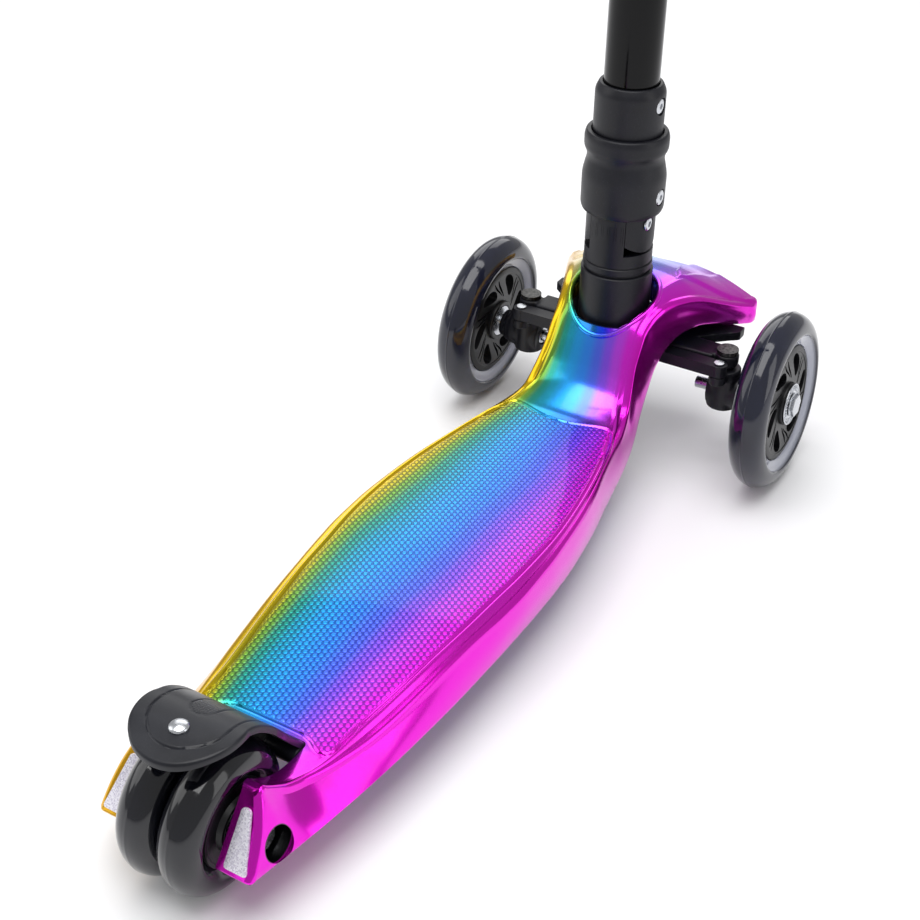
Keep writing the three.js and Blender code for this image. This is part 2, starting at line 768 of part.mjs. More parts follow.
addPair("front_tyre", atRightFrontWheel(tyre(frontWheelRadius, frontTyreBore, frontWheelWidth)), "urethane");
addPair("front_wheel_core", atRightFrontWheel(frontCore()), "core");
for (const [name, side] of [["outer", -1], ["inner", 1]]) {
  const place = side * (hubHalf - bearingWidth / 2);
  addPair(`front_${name}_bearing`, atRightFrontWheel(bearing().translate(0, place, 0)), "steel");
}

function frontWasher() {
  const inner = axleRadius + runningGap;
  const low = -washerOut;
  const high = -hubHalf - seatGap;
  return turnedRing([[inner, low], [washerRadius - edgeRound, low], [washerRadius, high], [inner, high]],
    roundFlats);
}

addPair("front_washer", atRightFrontWheel(frontWasher()), "steel");

function frontAxleBolt() {
  const shank = barAlongY(axleRadius, -boltHeadOut + edgeRound, bossEnd + boltTail, 0, 0, smallFlats);
  const head = hexNut(boltHeadRadius, -boltHeadOut, -washerOut - seatGap, 0);
  return join(shank, head);
}

addPair("front_axle_bolt", atRightFrontWheel(frontAxleBolt()), "steel");

addPair("front_axle_nut", atRightFrontWheel(
  hexNut(nutRadius, nutFace, nutFace + nutHeight, axleRadius + runningGap)), "steel");

// Knuckles turn on upright kingpins, and their arms reach back to the tie rod
const tieX = kingpinX - steerArm;

function knuckle() {
  const y = -kingpinY;
  const barrel = barAlongZ(barrelRadius, barrelLow, barrelHigh, kingpinX, y);
  const neck = barAlongZ(knuckleNeckRadius, barrelHigh - edgeRound, crossbarLow - seatGap, kingpinX, y);
  const armLow = barrelHigh - steerArmThickness;
  const arm = join(
    block(tieX, y - tieEyeRadius, armLow, kingpinX, y + tieEyeRadius, barrelHigh),
    barAlongZ(tieEyeRadius, armLow, barrelHigh, tieX, y));
  const boss = atRightFrontWheel(barAlongY(axleBossRadius, bossFace, bossEnd, 0, 0));
  const nutRoom = atRightFrontWheel(barAlongY(nutRadius + seatGap, nutFace - seatGap, bossEnd + overrun,
    0, 0));
  const axle = atRightFrontWheel(barAlongY(axleRadius + runningGap, 0, frontTrack / 2, 0, 0, smallFlats));
  const kingpin = barAlongZ(kingpinRadius + runningGap, kingpinLow - seatGap, headHeight, kingpinX, y,
    smallFlats);
  const tiePin = barAlongZ(tiePinRadius + runningGap, armLow - overrun / 4, headHeight, tieX, y, smallFlats);
  return cut(join(barrel, neck, arm, boss), axle, nutRoom, kingpin, tiePin);
}

addPair("knuckle", knuckle(), "nylon");

function kingpin() {
  const seat = eyeHigh + seatGap;
  const head = barAlongZ(kingpinHeadRadius, seat, seat + kingpinHeadHeight, kingpinX, -kingpinY);
  const shank = barAlongZ(kingpinRadius, kingpinLow, eyeHigh + edgeRound, kingpinX, -kingpinY, smallFlats);
  return join(shank, head);
}

addPair("kingpin", kingpin(), "steel");

const tieLow = tieRodHeight - tieRodDepth / 2;
const tieHigh = tieRodHeight + tieRodDepth / 2;

function tieRod() {
  const bar = block(tieX - tieRodWidth / 2, -kingpinY, tieLow, tieX + tieRodWidth / 2, kingpinY, tieHigh);
  const middle = block(tieX - tieRodWidth / 2, -tieBlockHalf, tieBlockLow, tieX + tieRodWidth / 2,
    tieBlockHalf, tieHigh);
  const notchHalf = driverRadius + seatGap;
  const notch = block(tieX - tieRodWidth, -notchHalf, tieLow - edgeRound, tieX + tieRodWidth, notchHalf,
    headHeight);
  const clear = [-1, 1].map((side) => barAlongZ(barrelRadius, tieLow - overrun, tieHigh + overrun,
    kingpinX, side * kingpinY));
  const eyes = [-1, 1].map((side) => barAlongZ(tieEyeRadius, tieLow, tieHigh, tieX, side * kingpinY));
  const holes = [-1, 1].map((side) => barAlongZ(tiePinRadius + tiePinPlay, tieLow - overrun,
    tieHigh + overrun, tieX, side * kingpinY, smallFlats));
  return cut(join(cut(bar, ...clear), middle, ...eyes), notch, ...holes);
}

add("tie_rod", tieRod(), "nylon");

function tiePin() {
  const low = barrelHigh - steerArmThickness + seatGap;
  const shank = barAlongZ(tiePinRadius, low, tieHigh + seatGap + edgeRound / 2, tieX, -kingpinY, smallFlats);
  const head = barAlongZ(tiePinRadius + 2 * tiePinPlay, tieHigh + seatGap, tieHigh + seatGap + edgeRound / 2,
    tieX, -kingpinY, smallFlats);
  return join(shank, head);
}

addPair("tie_rod_pin", tiePin(), "steel");

// The black housing under the head: two bulkheads carry the lean pin, arms carry the kingpins
function bulkheadAt(from, to) {
  const points = [[-housingHalfWidth, housingFloor], [housingHalfWidth, housingFloor],
    [housingHalfWidth, leanHeight - 2 * bulkheadTopRadius]];
  for (let k = 0; k <= archSteps; k += 1) {
    const angle = (Math.PI * k) / archSteps;
    points.push([bulkheadTopRadius * Math.cos(angle), leanHeight + bulkheadTopRadius * Math.sin(angle)]);
  }
  points.push([-housingHalfWidth, leanHeight - 2 * bulkheadTopRadius]);
  return frontSlab(points, from, to);
}

function wingPlate() {
  const reach = wheelbase + headReach - 2 * tipRound;
  const top = sectionAt(reach).footHeight - seatGap;
  const rear = crossbarRear + tieRodWidth;
  const tip = sectionAt(reach).foot + wingPlateProud;
  const shape = shapeOf([
    [rear, -kingpinY / 2], [reach - tipRound, -tip], [reach, -tip],
    [reach, tip], [reach - tipRound, tip], [rear, kingpinY / 2],
  ]);
  return slab(shape, top - wingPlateThickness, top);
}

function housing() {
  const rearPlate = bulkheadAt(housingRear, housingRear + bulkheadThickness);
  const frontPlate = bulkheadAt(housingFront - bulkheadThickness - edgeRound, housingFront);
  const floor = block(housingRear, -housingHalfWidth, housingFloor, housingFront, housingHalfWidth,
    housingFloor + housingFloorThickness);
  const eyeReach = kingpinY - knuckleNeckRadius - edgeRound;
  const crossbar = block(crossbarRear, -eyeReach, crossbarLow, kingpinX + barrelRadius, eyeReach,
    crossbarHigh);
  const webReach = kingpinY - barrelRadius - webSetback;
  const web = frontSlab([
    [-webReach, webEndLow], [-kingpinY / 2, webLow], [kingpinY / 2, webLow], [webReach, webEndLow],
    [webReach, crossbarHigh], [-webReach, crossbarHigh],
  ], kingpinX + edgeRound, kingpinX + barrelRadius);
  const eyes = [-1, 1].map((side) => barAlongZ(eyeRadius, crossbarLow, eyeHigh, kingpinX, side * kingpinY));
  const holes = [-1, 1].map((side) => barAlongZ(kingpinRadius + runningGap, crossbarLow - overrun,
    eyeHigh + overrun, kingpinX, side * kingpinY, smallFlats));
  const pin = barAlongX(leanPinRadius + runningGap, housingRear - overrun, housingFront + overrun, 0,
    leanHeight, smallFlats);
  return cut(join(rearPlate, frontPlate, floor, crossbar, web, wingPlate(), ...eyes), pin, ...holes);
}

add("front_axle_housing", housing(), "nylon");
add("lean_pin", barAlongX(leanPinRadius, housingRear - edgeRound, housingFront + edgeRound, 0, leanHeight,
  smallFlats), "steel");

const bossRear = housingRear + bulkheadThickness + seatGap;
const springRear = tieX - tieRodWidth / 2 + edgeRound;
const springFront = housingFront - bulkheadThickness - edgeRound - seatGap;

// Torsion spring that centres the leaning column
add("lean_spring", turnedRing([
  [leanPinRadius + seatGap, springRear + seatGap], [leanBossRadius - seatGap, springRear + seatGap],
  [leanBossRadius - seatGap, springFront], [leanPinRadius + seatGap, springFront],
], roundFlats).rotateZ(-Math.PI / 2).translate(0, 0, leanHeight), "steel");

// The column's foot: lean boss and driver below, ringed barrel in the deck, hinge tongue above
function columnFootBarrel() {
  const ring = foldRadius + ringProud;
  const top = foldHeight - seatGap;
  const barrel = upright(turned([
    [0, columnFoot], [columnRadius - edgeRound, columnFoot], [columnRadius, columnFoot + edgeRound],
    [columnRadius, ringLow - ringWidth / 2], [foldRadius - ringDepth, ringLow],
    [ring, ringLow + ringWidth / 2], [ring, ringHigh - ringWidth / 2], [foldRadius - ringDepth, ringHigh],
    [foldRadius, ringHigh + ringWidth / 2], [foldRadius, top], [0, top],
  ], stemFlats), columnX);
  const cheekRoom = block(columnX - columnRadius - overrun, tongueHalf, foldHeight - roomDrop,
    foldX + cheekRadius + seatGap, columnRadius + overrun, foldHeight + overrun);
  return cut(barrel, cheekRoom, mirrored(cheekRoom));
}

function columnBase() {
  const tongueCore = barAlongY(tongueRadius, -tongueHalf, tongueHalf, foldX, foldHeight);
  const tongueRoot = block(foldX - tongueRadius, -tongueHalf, ringHigh + ringWidth, foldX + tongueRadius,
    tongueHalf, foldHeight);
  const inBarrel = barAlongZ(foldRadius, ringHigh + ringWidth, foldHeight + tongueRadius, columnX, 0,
    stemFlats);
  const tongue = common(join(tongueCore, tongueRoot), inBarrel);
  const boss = barAlongX(leanBossRadius, bossRear, springRear, 0, leanHeight);
  const neck = block(bossRear, -leanBossRadius, leanHeight, springRear, leanBossRadius,
    columnFoot + edgeRound);
  const driver = barAlongX(driverRadius, bossRear + edgeRound, tieX + tieRodWidth / 2 - edgeRound / 2, 0,
    tieRodHeight);
  const arm = block(bossRear + edgeRound, -driverNeckHalf, tieRodHeight, springRear - edgeRound,
    driverNeckHalf, leanHeight);
  const leanBore = barAlongX(leanPinRadius + runningGap, housingRear, housingFront, 0, leanHeight,
    smallFlats);
  const foldBore = barAlongY(foldPinRadius + runningGap, -tongueHalf - overrun, tongueHalf + overrun, foldX,
    foldHeight, smallFlats);
  return cut(join(columnFootBarrel(), tongue, boss, neck, driver, arm), leanBore, foldBore);
}

add("column_base", columnBase(), "nylon");

// The fork folds over the tongue. Its cheeks are round about the fold pin below the pin's height.
function stemFork() {
  const low = foldHeight - cheekRadius;
  const barrel = upright(turned([
    [0, low], [foldRadius, low], [foldRadius, forkTop - edgeRound], [foldRadius - edgeRound, forkTop],
    [0, forkTop],
  ], stemFlats), columnX);
  const below = cut(
    block(columnX - collarRadius, -collarRadius, low - overrun, columnX + collarRadius, collarRadius,
      foldHeight),
    barAlongY(cheekRadius, -collarRadius - overrun, collarRadius + overrun, foldX, foldHeight));
  const throat = tongueHalf + seatGap;
  const slot = block(columnX - collarRadius, -throat, low - overrun, columnX + collarRadius, throat,
    foldHeight + forkThroat);
  const socket = barAlongZ(tubeRadius + runningGap, tubeFoot, forkTop + overrun, columnX, 0);
  const foldBore = barAlongY(foldPinRadius + runningGap, -collarRadius, collarRadius, foldX, foldHeight,
    smallFlats);
  return cut(barrel, below, slot, socket, foldBore);
}

add("stem_fork", stemFork(), "nylon");

const cheekFace = Math.sqrt(foldRadius ** 2 - (columnX - foldX) ** 2);

function foldPin() {
  const shank = barAlongY(foldPinRadius, -cheekFace - seatGap, cheekFace - edgeRound, foldX, foldHeight,
    smallFlats);
  const head = barAlongY(foldPinHead, -cheekFace - 2 * seatGap - foldPinHeadHeight, -cheekFace - 2 * seatGap,
    foldX, foldHeight, smallFlats);
  const neck = barAlongY(foldPinRadius, -cheekFace - foldPinHeadHeight, -cheekFace, foldX, foldHeight,
    smallFlats);
  return join(shank, neck, head);
}

add("fold_pin", foldPin(), "steel");

// Screws that lie along Y in a round wall, in a counterbore that gives them a flat seat
function screwSeat(face, height) {
  return [
    barAlongY(screwHead + seatGap, -face - collarRadius, -face, screwX, height, smallFlats),
    barAlongY(screwRadius + runningGap, -face - overrun, -face + overrun, screwX, height, smallFlats),
  ];
}

function screw(face, depth, height) {
  const head = barAlongY(screwHead, -face - seatGap - screwHeadHeight, -face - seatGap, screwX, height,
    smallFlats);
  const shank = barAlongY(screwRadius, -face - screwHeadHeight, -face + depth, screwX, height, smallFlats);
  return join(head, shank);
}

const collarFace = Math.sqrt(collarRadius ** 2 - (columnX - screwX) ** 2) - collarSeatShare * screwHeadHeight;
const sleeveFace = Math.sqrt(sleeveRadius ** 2 - (columnX - screwX) ** 2) - sleeveSeatShare * screwHeadHeight;

function lockCollar() {
  const height = collarTop - collarLow;
  const outline = (shares, widest) => shares.map(([up, out]) => (
    [collarWaist + out * (widest - collarWaist), collarLow + up * height]));
  const ring = upright(turnedRing([
    [collarBore, collarLow], ...outline(collarShares, collarRadius), ...outline(collarLipShares, collarLip),
    [collarBore, collarTop],
  ], stemFlats), columnX);
  return cut(ring, ...screwSeat(collarFace, collarScrewHeight));
}

add("lock_collar", lockCollar(), "nylon");
add("collar_screw", screw(collarFace, edgeRound, collarScrewHeight), "steel");

function stemSleeve() {
  const low = forkTop + seatGap;
  const ring = upright(turnedRing([
    [tubeRadius + runningGap, low], [sleeveRadius, low], [sleeveRadius, sleeveTop - sleeveChamfer],
    [sleeveRadius - sleeveChamfer / 2, sleeveTop], [tubeRadius + runningGap, sleeveTop],
  ], stemFlats), columnX);
  return cut(ring, ...screwSeat(sleeveFace, sleeveScrewHeight));
}

add("stem_sleeve", stemSleeve(), "nylon");
add("sleeve_screw", screw(sleeveFace, edgeRound, sleeveScrewHeight), "steel");

function tube(outer, wall, low, high) {
  return upright(turnedRing([
    [outer - wall, low], [outer, low], [outer, high], [outer - wall, high],
  ], roundFlats), columnX);
}

add("outer_tube", tube(tubeRadius, tubeWall, tubeFoot + seatGap, tubeTop), "tube");

// Height clamp: a split ring with two ears, drawn together by the lever's bolt
const clampMiddle = clampLow + clampHeight / 2;

function clampRing() {
  const ring = tube(clampRadius, clampRadius - tubeRadius - runningGap, clampLow, clampLow + clampHeight);
  const ears = block(columnX - earReach, -earHalf, clampMiddle - leverHeight / 2 - edgeRound,
    columnX - tubeRadius - 2 * edgeRound, earHalf, clampMiddle + leverHeight / 2 + edgeRound);
  const slit = block(columnX - earReach - overrun, -clampSlit / 2, clampLow - overrun, columnX,
    clampSlit / 2, clampLow + clampHeight + overrun);
  const bolt = barAlongY(clampBoltRadius + runningGap, -clampRadius, clampRadius, clampBoltX, clampMiddle,
    smallFlats);
  return cut(join(ring, ears), slit, bolt);
}

add("clamp_ring", clampRing(), "nylon");

const leverPinHalf = leverHeight / 2 - edgeRound / 2;

function clampBolt() {
  const shank = barAlongY(clampBoltRadius, -leverPivotY, earHalf + clampNutHeight + edgeRound, clampBoltX,
    clampMiddle, smallFlats);
  const crossPin = barAlongZ(clampBoltRadius, clampMiddle - leverPinHalf, clampMiddle + leverPinHalf,
    clampBoltX, -leverPivotY, smallFlats);
  return join(shank, crossPin);
}

add("clamp_bolt", clampBolt(), "steel");
add("clamp_nut", hexNut(clampNutRadius, earHalf + seatGap, earHalf + clampNutHeight,
  clampBoltRadius + runningGap).translate(clampBoltX, 0, clampMiddle), "steel");

function clampLever() {
  const low = clampMiddle - leverHeight / 2;
  const high = clampMiddle + leverHeight / 2;
  const barrel = barAlongZ(leverBarrel, low, high, clampBoltX, -leverPivotY);
  const outer = clampRadius + seatGap + leverThickness + edgeRound;
  const blade = new THREE.Shape();
  blade.moveTo(clampBoltX, -leverPivotY - leverBarrel);
  blade.lineTo(clampBoltX + leverBarrel, -leverPivotY);
  blade.lineTo(clampBoltX + 2 * leverBarrel, -outer + leverThickness);
  const along = (share) => clampBoltX + leverLength * share;
  const shares = bladeShares;
  blade.lineTo(along(shares.innerBendShare), -outer + leverThickness);
  blade.quadraticCurveTo(along(shares.innerPullShare), -outer + leverThickness, along(1), -outer);
  blade.quadraticCurveTo(along(shares.outerPullShare), -outer, along(shares.outerBendShare), -outer);
  blade.lineTo(clampBoltX + leverBarrel, -outer);
  const pinBore = barAlongZ(clampBoltRadius + runningGap, low - overrun, high + overrun, clampBoltX,
    -leverPivotY, smallFlats);
  const boltRoom = barAlongZ(leverBarrel + seatGap, clampMiddle - clampBoltRadius - seatGap,
    clampMiddle + clampBoltRadius + seatGap, clampBoltX, -leverPivotY);
  return cut(join(barrel, slab(blade, low, high)), pinBore, boltRoom);
}

add("clamp_lever", clampLever(), "nylon");

// Handlebar
function teeJoint() {
  const across = barAlongY(teeRadius, -teeHalf, teeHalf, columnX, barHeight);
  const socket = barAlongZ(teeRadius, barHeight - teeSocket, barHeight, columnX, 0);
  const barBore = barAlongY(barRadius + runningGap, -teeHalf - overrun, teeHalf + overrun, columnX,
    barHeight);
  const tubeBore = barAlongZ(innerRadius + runningGap, barHeight - teeSocket - overrun, barHeight - barRadius,
    columnX, 0);
  return cut(join(across, socket), barBore, tubeBore);
}

const innerTop = barHeight - barRadius - seatGap;
add("inner_tube", tube(innerRadius, innerWall, innerFoot, innerTop), "steel");
add("tee_joint", teeJoint(), "nylon");
add("handlebar_tube", turnedRing([
  [barRadius - innerWall, -barHalf], [barRadius, -barHalf], [barRadius, barHalf],
  [barRadius - innerWall, barHalf],
], roundFlats).translate(columnX, 0, barHeight), "tube");

function grip() {
  const start = teeHalf + gripSpacing;
  const bore = barRadius + runningGap;
  const end = barHalf + gripEnd;
  const profile = [
    [0, end], [gripRadius - 2 * edgeRound, end], [gripRadius, end - 2 * edgeRound],
    [gripRadius, start + 2 * gripFlangeWidth], [gripFlange, start + gripFlangeWidth],
    [gripFlange, start + edgeRound], [gripFlange - edgeRound, start],
    [bore, start], [bore, barHalf + seatGap], [0, barHalf + seatGap],
  ];
  return turned(profile, roundFlats).translate(columnX, 0, barHeight).scale(1, -1, 1);
}

addPair("grip", grip(), "rubber");

// Rear wheels run side by side on one bolt through the arms
const rearY = (rearWheelWidth + rearWheelGap) / 2;

function atRightRearWheel(geometry) {
  return geometry.translate(0, -rearY, rearWheelRadius);
}

function rearCore() {
  const outer = rearTyreBore - tyreSeat;
  const half = rearWheelWidth * coreWidthShare;
  const step = outer - coreRimWall;
  const dish = half - 2 * edgeRound;
  const outward = rearWheelWidth / 2 - seatGap;
  const throat = axleRadius + 2.6 * edgeRound;
  const seatEnd = -outward + bearingWidth + seatGap;
  return turnedRing([
    [throat, seatEnd], [bearingRadius + tyreSeat, seatEnd], [bearingRadius + tyreSeat, -outward],
    [hubRadius, -outward], [hubRadius + edgeRound, -dish], [step, -dish], [step + edgeRound, -half],
    [outer, -half], [outer, half], [throat, half],
  ], roundFlats);
}

addPair("rear_tyre", atRightRearWheel(tyre(rearWheelRadius, rearTyreBore, rearWheelWidth)), "urethane");
addPair("rear_wheel_core", atRightRearWheel(rearCore()), "core");
const rearBearingPlace = -(rearWheelWidth / 2 - seatGap) + bearingWidth / 2;
addPair("rear_bearing", atRightRearWheel(bearing().translate(0, rearBearingPlace, 0)), "steel");

const rearBearingInner = rearY - rearBearingPlace - bearingWidth / 2 - seatGap;
add("rear_spacer", turnedRing([
  [axleRadius + runningGap, -rearBearingInner], [axleRadius + edgeRound, -rearBearingInner],
  [axleRadius + edgeRound, rearBearingInner], [axleRadius + runningGap, rearBearingInner],
], smallFlats).translate(0, 0, rearWheelRadius), "steel");

function rearAxleBolt() {
  const head = barAlongY(nutRadius, -accessFloor - seatGap - nutHeight, -accessFloor - seatGap, 0, 0,
    hexFlats);
  const shank = barAlongY(axleRadius, -accessFloor - seatGap - edgeRound, accessFloor + nutHeight + edgeRound,
    0, 0, smallFlats);
  return join(head, shank).translate(0, 0, rearWheelRadius);
}

add("rear_axle_bolt", rearAxleBolt(), "steel");
add("rear_axle_nut", hexNut(nutRadius, accessFloor + seatGap, accessFloor + nutHeight,
  axleRadius + runningGap).translate(0, 0, rearWheelRadius), "steel");

// The brake fender: an S shaped plate, cut to its plan, with a barrel on the hinge pin
function fenderPlate() {
  const top = fenderShares.map(([x, z]) => new THREE.Vector2(x * fenderLobe, z * fenderTop));
  const upper = new THREE.SplineCurve(top).getPoints(fenderSteps);
  const lower = upper.map((p, k) => {
    const before = upper[Math.max(k - 1, 0)];
    const after = upper[Math.min(k + 1, upper.length - 1)];
    const run = after.clone().sub(before).normalize();
    return new THREE.Vector2(p.x + run.y * fenderThickness, p.y - run.x * fenderThickness);
  });
  return sideSlab(new THREE.Shape([...upper, ...lower.reverse()]), 2 * fenderHalf);
}

function fender() {
  const plan = new THREE.Shape();
  const reach = fenderPinX + fenderBarrel;
  plan.moveTo(reach, -fenderBarrelHalf);
  plan.lineTo(reach, fenderBarrelHalf);
  plan.lineTo(fenderPinX - 2 * fenderBarrel, fenderBarrelHalf);
  plan.lineTo(fenderPinX - 3 * fenderBarrel, fenderHalf);
  plan.lineTo(lobeStartShare * fenderLobe, fenderHalf);
  plan.absarc(0, 0, fenderLobe, lobeTurnShares[0] * Math.PI, lobeTurnShares[1] * Math.PI);
  plan.lineTo(lobeStartShare * fenderLobe, -fenderHalf);
  plan.lineTo(fenderPinX - 3 * fenderBarrel, -fenderHalf);
  plan.lineTo(fenderPinX - 2 * fenderBarrel, -fenderBarrelHalf);
  const plate = common(fenderPlate(), slab(plan, 0, headHeight));
  const barrels = [-1, 1].map((side) => {
    const ends = [side * (fenderSpringHalf + seatGap), side * fenderBarrelHalf];
    return barAlongY(fenderBarrel, Math.min(...ends), Math.max(...ends), fenderPinX, fenderPinHeight);
  });
  const springRoom = block(fenderPinX - fenderBarrel - seatGap, -fenderSpringHalf - seatGap,
    fenderPinHeight - fenderBarrel - overrun, slotFront + overrun, fenderSpringHalf + seatGap,
    fenderPinHeight + fenderBarrel + seatGap);
  const pin = barAlongY(fenderPinRadius + runningGap, -fenderHalf - overrun, fenderHalf + overrun, fenderPinX,
    fenderPinHeight, smallFlats);
  const rivet = barAlongZ(rivetRadius + runningGap, 0, headHeight, rivetX, 0, smallFlats);
  return cut(join(cut(plate, springRoom), ...barrels), pin, rivet);
}

add("brake_fender", fender(), "nylon");
add("brake_hinge_pin", barAlongY(fenderPinRadius, -fenderPinHalf, fenderPinHalf, fenderPinX, fenderPinHeight,
  smallFlats), "steel");
add("brake_spring", turnedRing([
  [fenderPinRadius + seatGap, -fenderSpringHalf], [fenderBarrel - seatGap, -fenderSpringHalf],
  [fenderBarrel - seatGap, fenderSpringHalf], [fenderPinRadius + seatGap, fenderSpringHalf],
], smallFlats).translate(fenderPinX, 0, fenderPinHeight), "steel");

const padTop = fenderTop - fenderThickness - 2 * seatGap - edgeRound / 2;

function brakePad() {
  const plate = block(rivetX - padLength / 2, -padHalf, padTop - padThickness, rivetX + padLength / 2,
    padHalf, padTop);
  return cut(plate, barAlongZ(rivetRadius + runningGap, 0, headHeight, rivetX, 0, smallFlats));
}

function brakeRivet() {
  const seat = fenderTop + seatGap;
  const head = turned([
    [0, padTop - padThickness + seatGap], [rivetRadius, padTop - padThickness + seatGap],
    [rivetRadius, seat], ...domeShares.map(([out, up]) => [rivetHead * out, seat + rivetDome * up]),
  ], smallFlats);
  return head.rotateX(Math.PI / 2).translate(rivetX, 0, 0);
}

add("brake_pad", brakePad(), "steel");
add("brake_rivet", brakeRivet(), "steel");

// The origin goes under the middle of the box, between the rear tyres and the front tyres
const rearmost = -rearWheelRadius;
const foremost = wheelbase + frontWheelRadius;
scooter.position.x = -(rearmost + foremost) / 2;
scooter.updateMatrixWorld(true);

export default scooter;
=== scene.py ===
import bpy
import bmesh
import math
import numpy as np
from mathutils import Matrix, Vector


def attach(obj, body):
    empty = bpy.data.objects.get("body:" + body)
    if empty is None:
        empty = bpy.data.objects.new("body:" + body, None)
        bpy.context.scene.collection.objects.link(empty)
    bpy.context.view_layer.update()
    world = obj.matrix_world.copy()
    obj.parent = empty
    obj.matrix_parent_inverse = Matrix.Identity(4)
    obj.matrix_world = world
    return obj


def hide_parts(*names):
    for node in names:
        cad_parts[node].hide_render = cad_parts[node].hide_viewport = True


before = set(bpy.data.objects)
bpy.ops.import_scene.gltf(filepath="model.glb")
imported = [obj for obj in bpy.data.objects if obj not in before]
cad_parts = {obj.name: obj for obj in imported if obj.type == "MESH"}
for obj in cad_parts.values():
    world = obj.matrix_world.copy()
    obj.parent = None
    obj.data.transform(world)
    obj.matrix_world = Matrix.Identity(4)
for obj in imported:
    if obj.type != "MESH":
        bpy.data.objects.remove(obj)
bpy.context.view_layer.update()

# Drawing units are millimetres, counted from the ground under the rear axle: x forward, y to the
# rider's left, z up. rearAxleX is where the rear axle lies in the row frame, in metres.
mm = 0.001
rearAxleX = -0.244
rearAxleHeight = 40.0
brakeHinge = (46.5, 46.0)  # place along the deck and height
collection = bpy.context.scene.collection


def rowPoint(x, y, z):
    return Vector((x * mm + rearAxleX, y * mm, z * mm))


# Camera

camera = {
    "place": (-0.62448, -0.36188, 0.58391), "yaw": 30.17, "pitch": 33.81, "roll": -1.0,  # angles in degrees
    "lens": 59.32,
}


def addObject(name, data):
    obj = bpy.data.objects.new(name, data)
    collection.objects.link(obj)
    return obj


def makeCamera(c):
    yaw, pitch, roll = (math.radians(c[k]) for k in ("yaw", "pitch", "roll"))
    forward = Vector((math.cos(yaw) * math.cos(pitch), math.sin(yaw) * math.cos(pitch), -math.sin(pitch)))
    right = Vector((math.sin(yaw), -math.cos(yaw), 0.0))
    down = forward.cross(right)
    right2 = right * math.cos(roll) + down * math.sin(roll)
    down2 = down * math.cos(roll) - right * math.sin(roll)
    data = bpy.data.cameras.new("photoCamera")
    data.lens = c["lens"]
    data.sensor_width = 36.0
    data.clip_start = 0.01
    obj = addObject("photoCamera", data)
    turn = Matrix((right2, -down2, -forward)).transposed().to_4x4()
    obj.matrix_world = Matrix.Translation(c["place"]) @ turn
    bpy.context.scene.camera = obj


makeCamera(camera)


def linear(hexColour):
    channels = []
    for k in (0, 2, 4):
        c = int(hexColour[k:k + 2], 16) / 255
        channels.append(c / 12.92 if c <= 0.04045 else ((c + 0.055) / 1.055) ** 2.4)
    return (*channels, 1.0)


# Short names for the kinds of node that the materials use
nodeKinds = {
    "noise": "ShaderNodeTexNoise", "maths": "ShaderNodeMath", "vector": "ShaderNodeVectorMath",
    "range": "ShaderNodeMapRange", "mix": "ShaderNodeMix", "bump": "ShaderNodeBump",
    "ramp": "ShaderNodeValToRGB", "field": "ShaderNodeAttribute",
}


# Adds a node, sets its fields, sets or links its inputs, and gives back one of its outputs
def addNode(tree, kind, inputs=(), output=0, **fields):
    node = tree.nodes.new(nodeKinds.get(kind, kind))
    for key, value in fields.items():
        setattr(node, key, value)
    for key, value in (inputs.items() if isinstance(inputs, dict) else enumerate(inputs)):
        if isinstance(value, bpy.types.NodeSocket):
            tree.links.new(value, node.inputs[key])
        else:
            node.inputs[key].default_value = value
    return node.outputs[output] if len(node.outputs) else node


def maths(tree, operation, *inputs, **fields):
    return addNode(tree, "maths", inputs, operation=operation, **fields)


def vector(tree, operation, *inputs, output=0):
    return addNode(tree, "vector", inputs, output, operation=operation)


def noise(tree, coordinates, scale, detail=2.0, roughness=0.5):
    return addNode(tree, "noise", {"Vector": coordinates, "Scale": scale, "Detail": detail,
                                   "Roughness": roughness})


# The value's range from low to high, moved to the range from start to end
def remap(tree, value, low, high, start, end, **fields):
    return addNode(tree, "range", [value, low, high, start, end], **fields)


# Mixes two colours, each a hex code or a socket; the node takes them at inputs 6 and 7
def blend(tree, share, first, second, **fields):
    first, second = (linear(c) if isinstance(c, str) else c for c in (first, second))
    return addNode(tree, "mix", {0: share, 6: first, 7: second}, 2, data_type="RGBA", **fields)


def bump(tree, height, depth, strength, **more):
    return addNode(tree, "bump", {"Height": height, "Distance": depth, "Strength": strength, **more})


def newMaterial(name, **sockets):
    material = bpy.data.materials.new(name)
    material.use_nodes = True
    tree = material.node_tree
    for key, value in sockets.items():
        tree.nodes["Principled BSDF"].inputs[key.replace("_", " ")].default_value = value
    return material, tree, addNode(tree, "ShaderNodeTexCoord", output="Object")


def wire(tree, **sockets):
    for key, socket in sockets.items():
        tree.links.new(socket, tree.nodes["Principled BSDF"].inputs[key.replace("_", " ")])


def fillRamp(node, stops, interpolation="LINEAR"):
    node.color_ramp.interpolation = interpolation
    elements = node.color_ramp.elements
    while len(elements) > 1:
        elements.remove(elements[-1])
    elements[0].position = stops[0][0]
    elements[0].color = linear(stops[0][1])
    for place, colour in stops[1:]:
        elements.new(place).color = linear(colour)


# Distance in metres from the nearest point of a triangular lattice whose rows run along x
def latticeDistance(tree, coordinates, pitch):
    cell = (pitch, pitch * math.sqrt(3), 1.0)
    flat = vector(tree, "MULTIPLY", coordinates, (1.0, 1.0, 0.0))
    places = vector(tree, "DIVIDE", flat, cell)
    lengths = []
    for shift in (0.0, 0.5):
        moved = vector(tree, "ADD", places, (shift, shift, 0.5))
        part = vector(tree, "FRACTION", moved)
        part = vector(tree, "SUBTRACT", part, (0.5, 0.5, 0.5))
        part = vector(tree, "MULTIPLY", part, cell)
        lengths.append(vector(tree, "LENGTH", part, output="Value"))
    return maths(tree, "MINIMUM", *lengths)


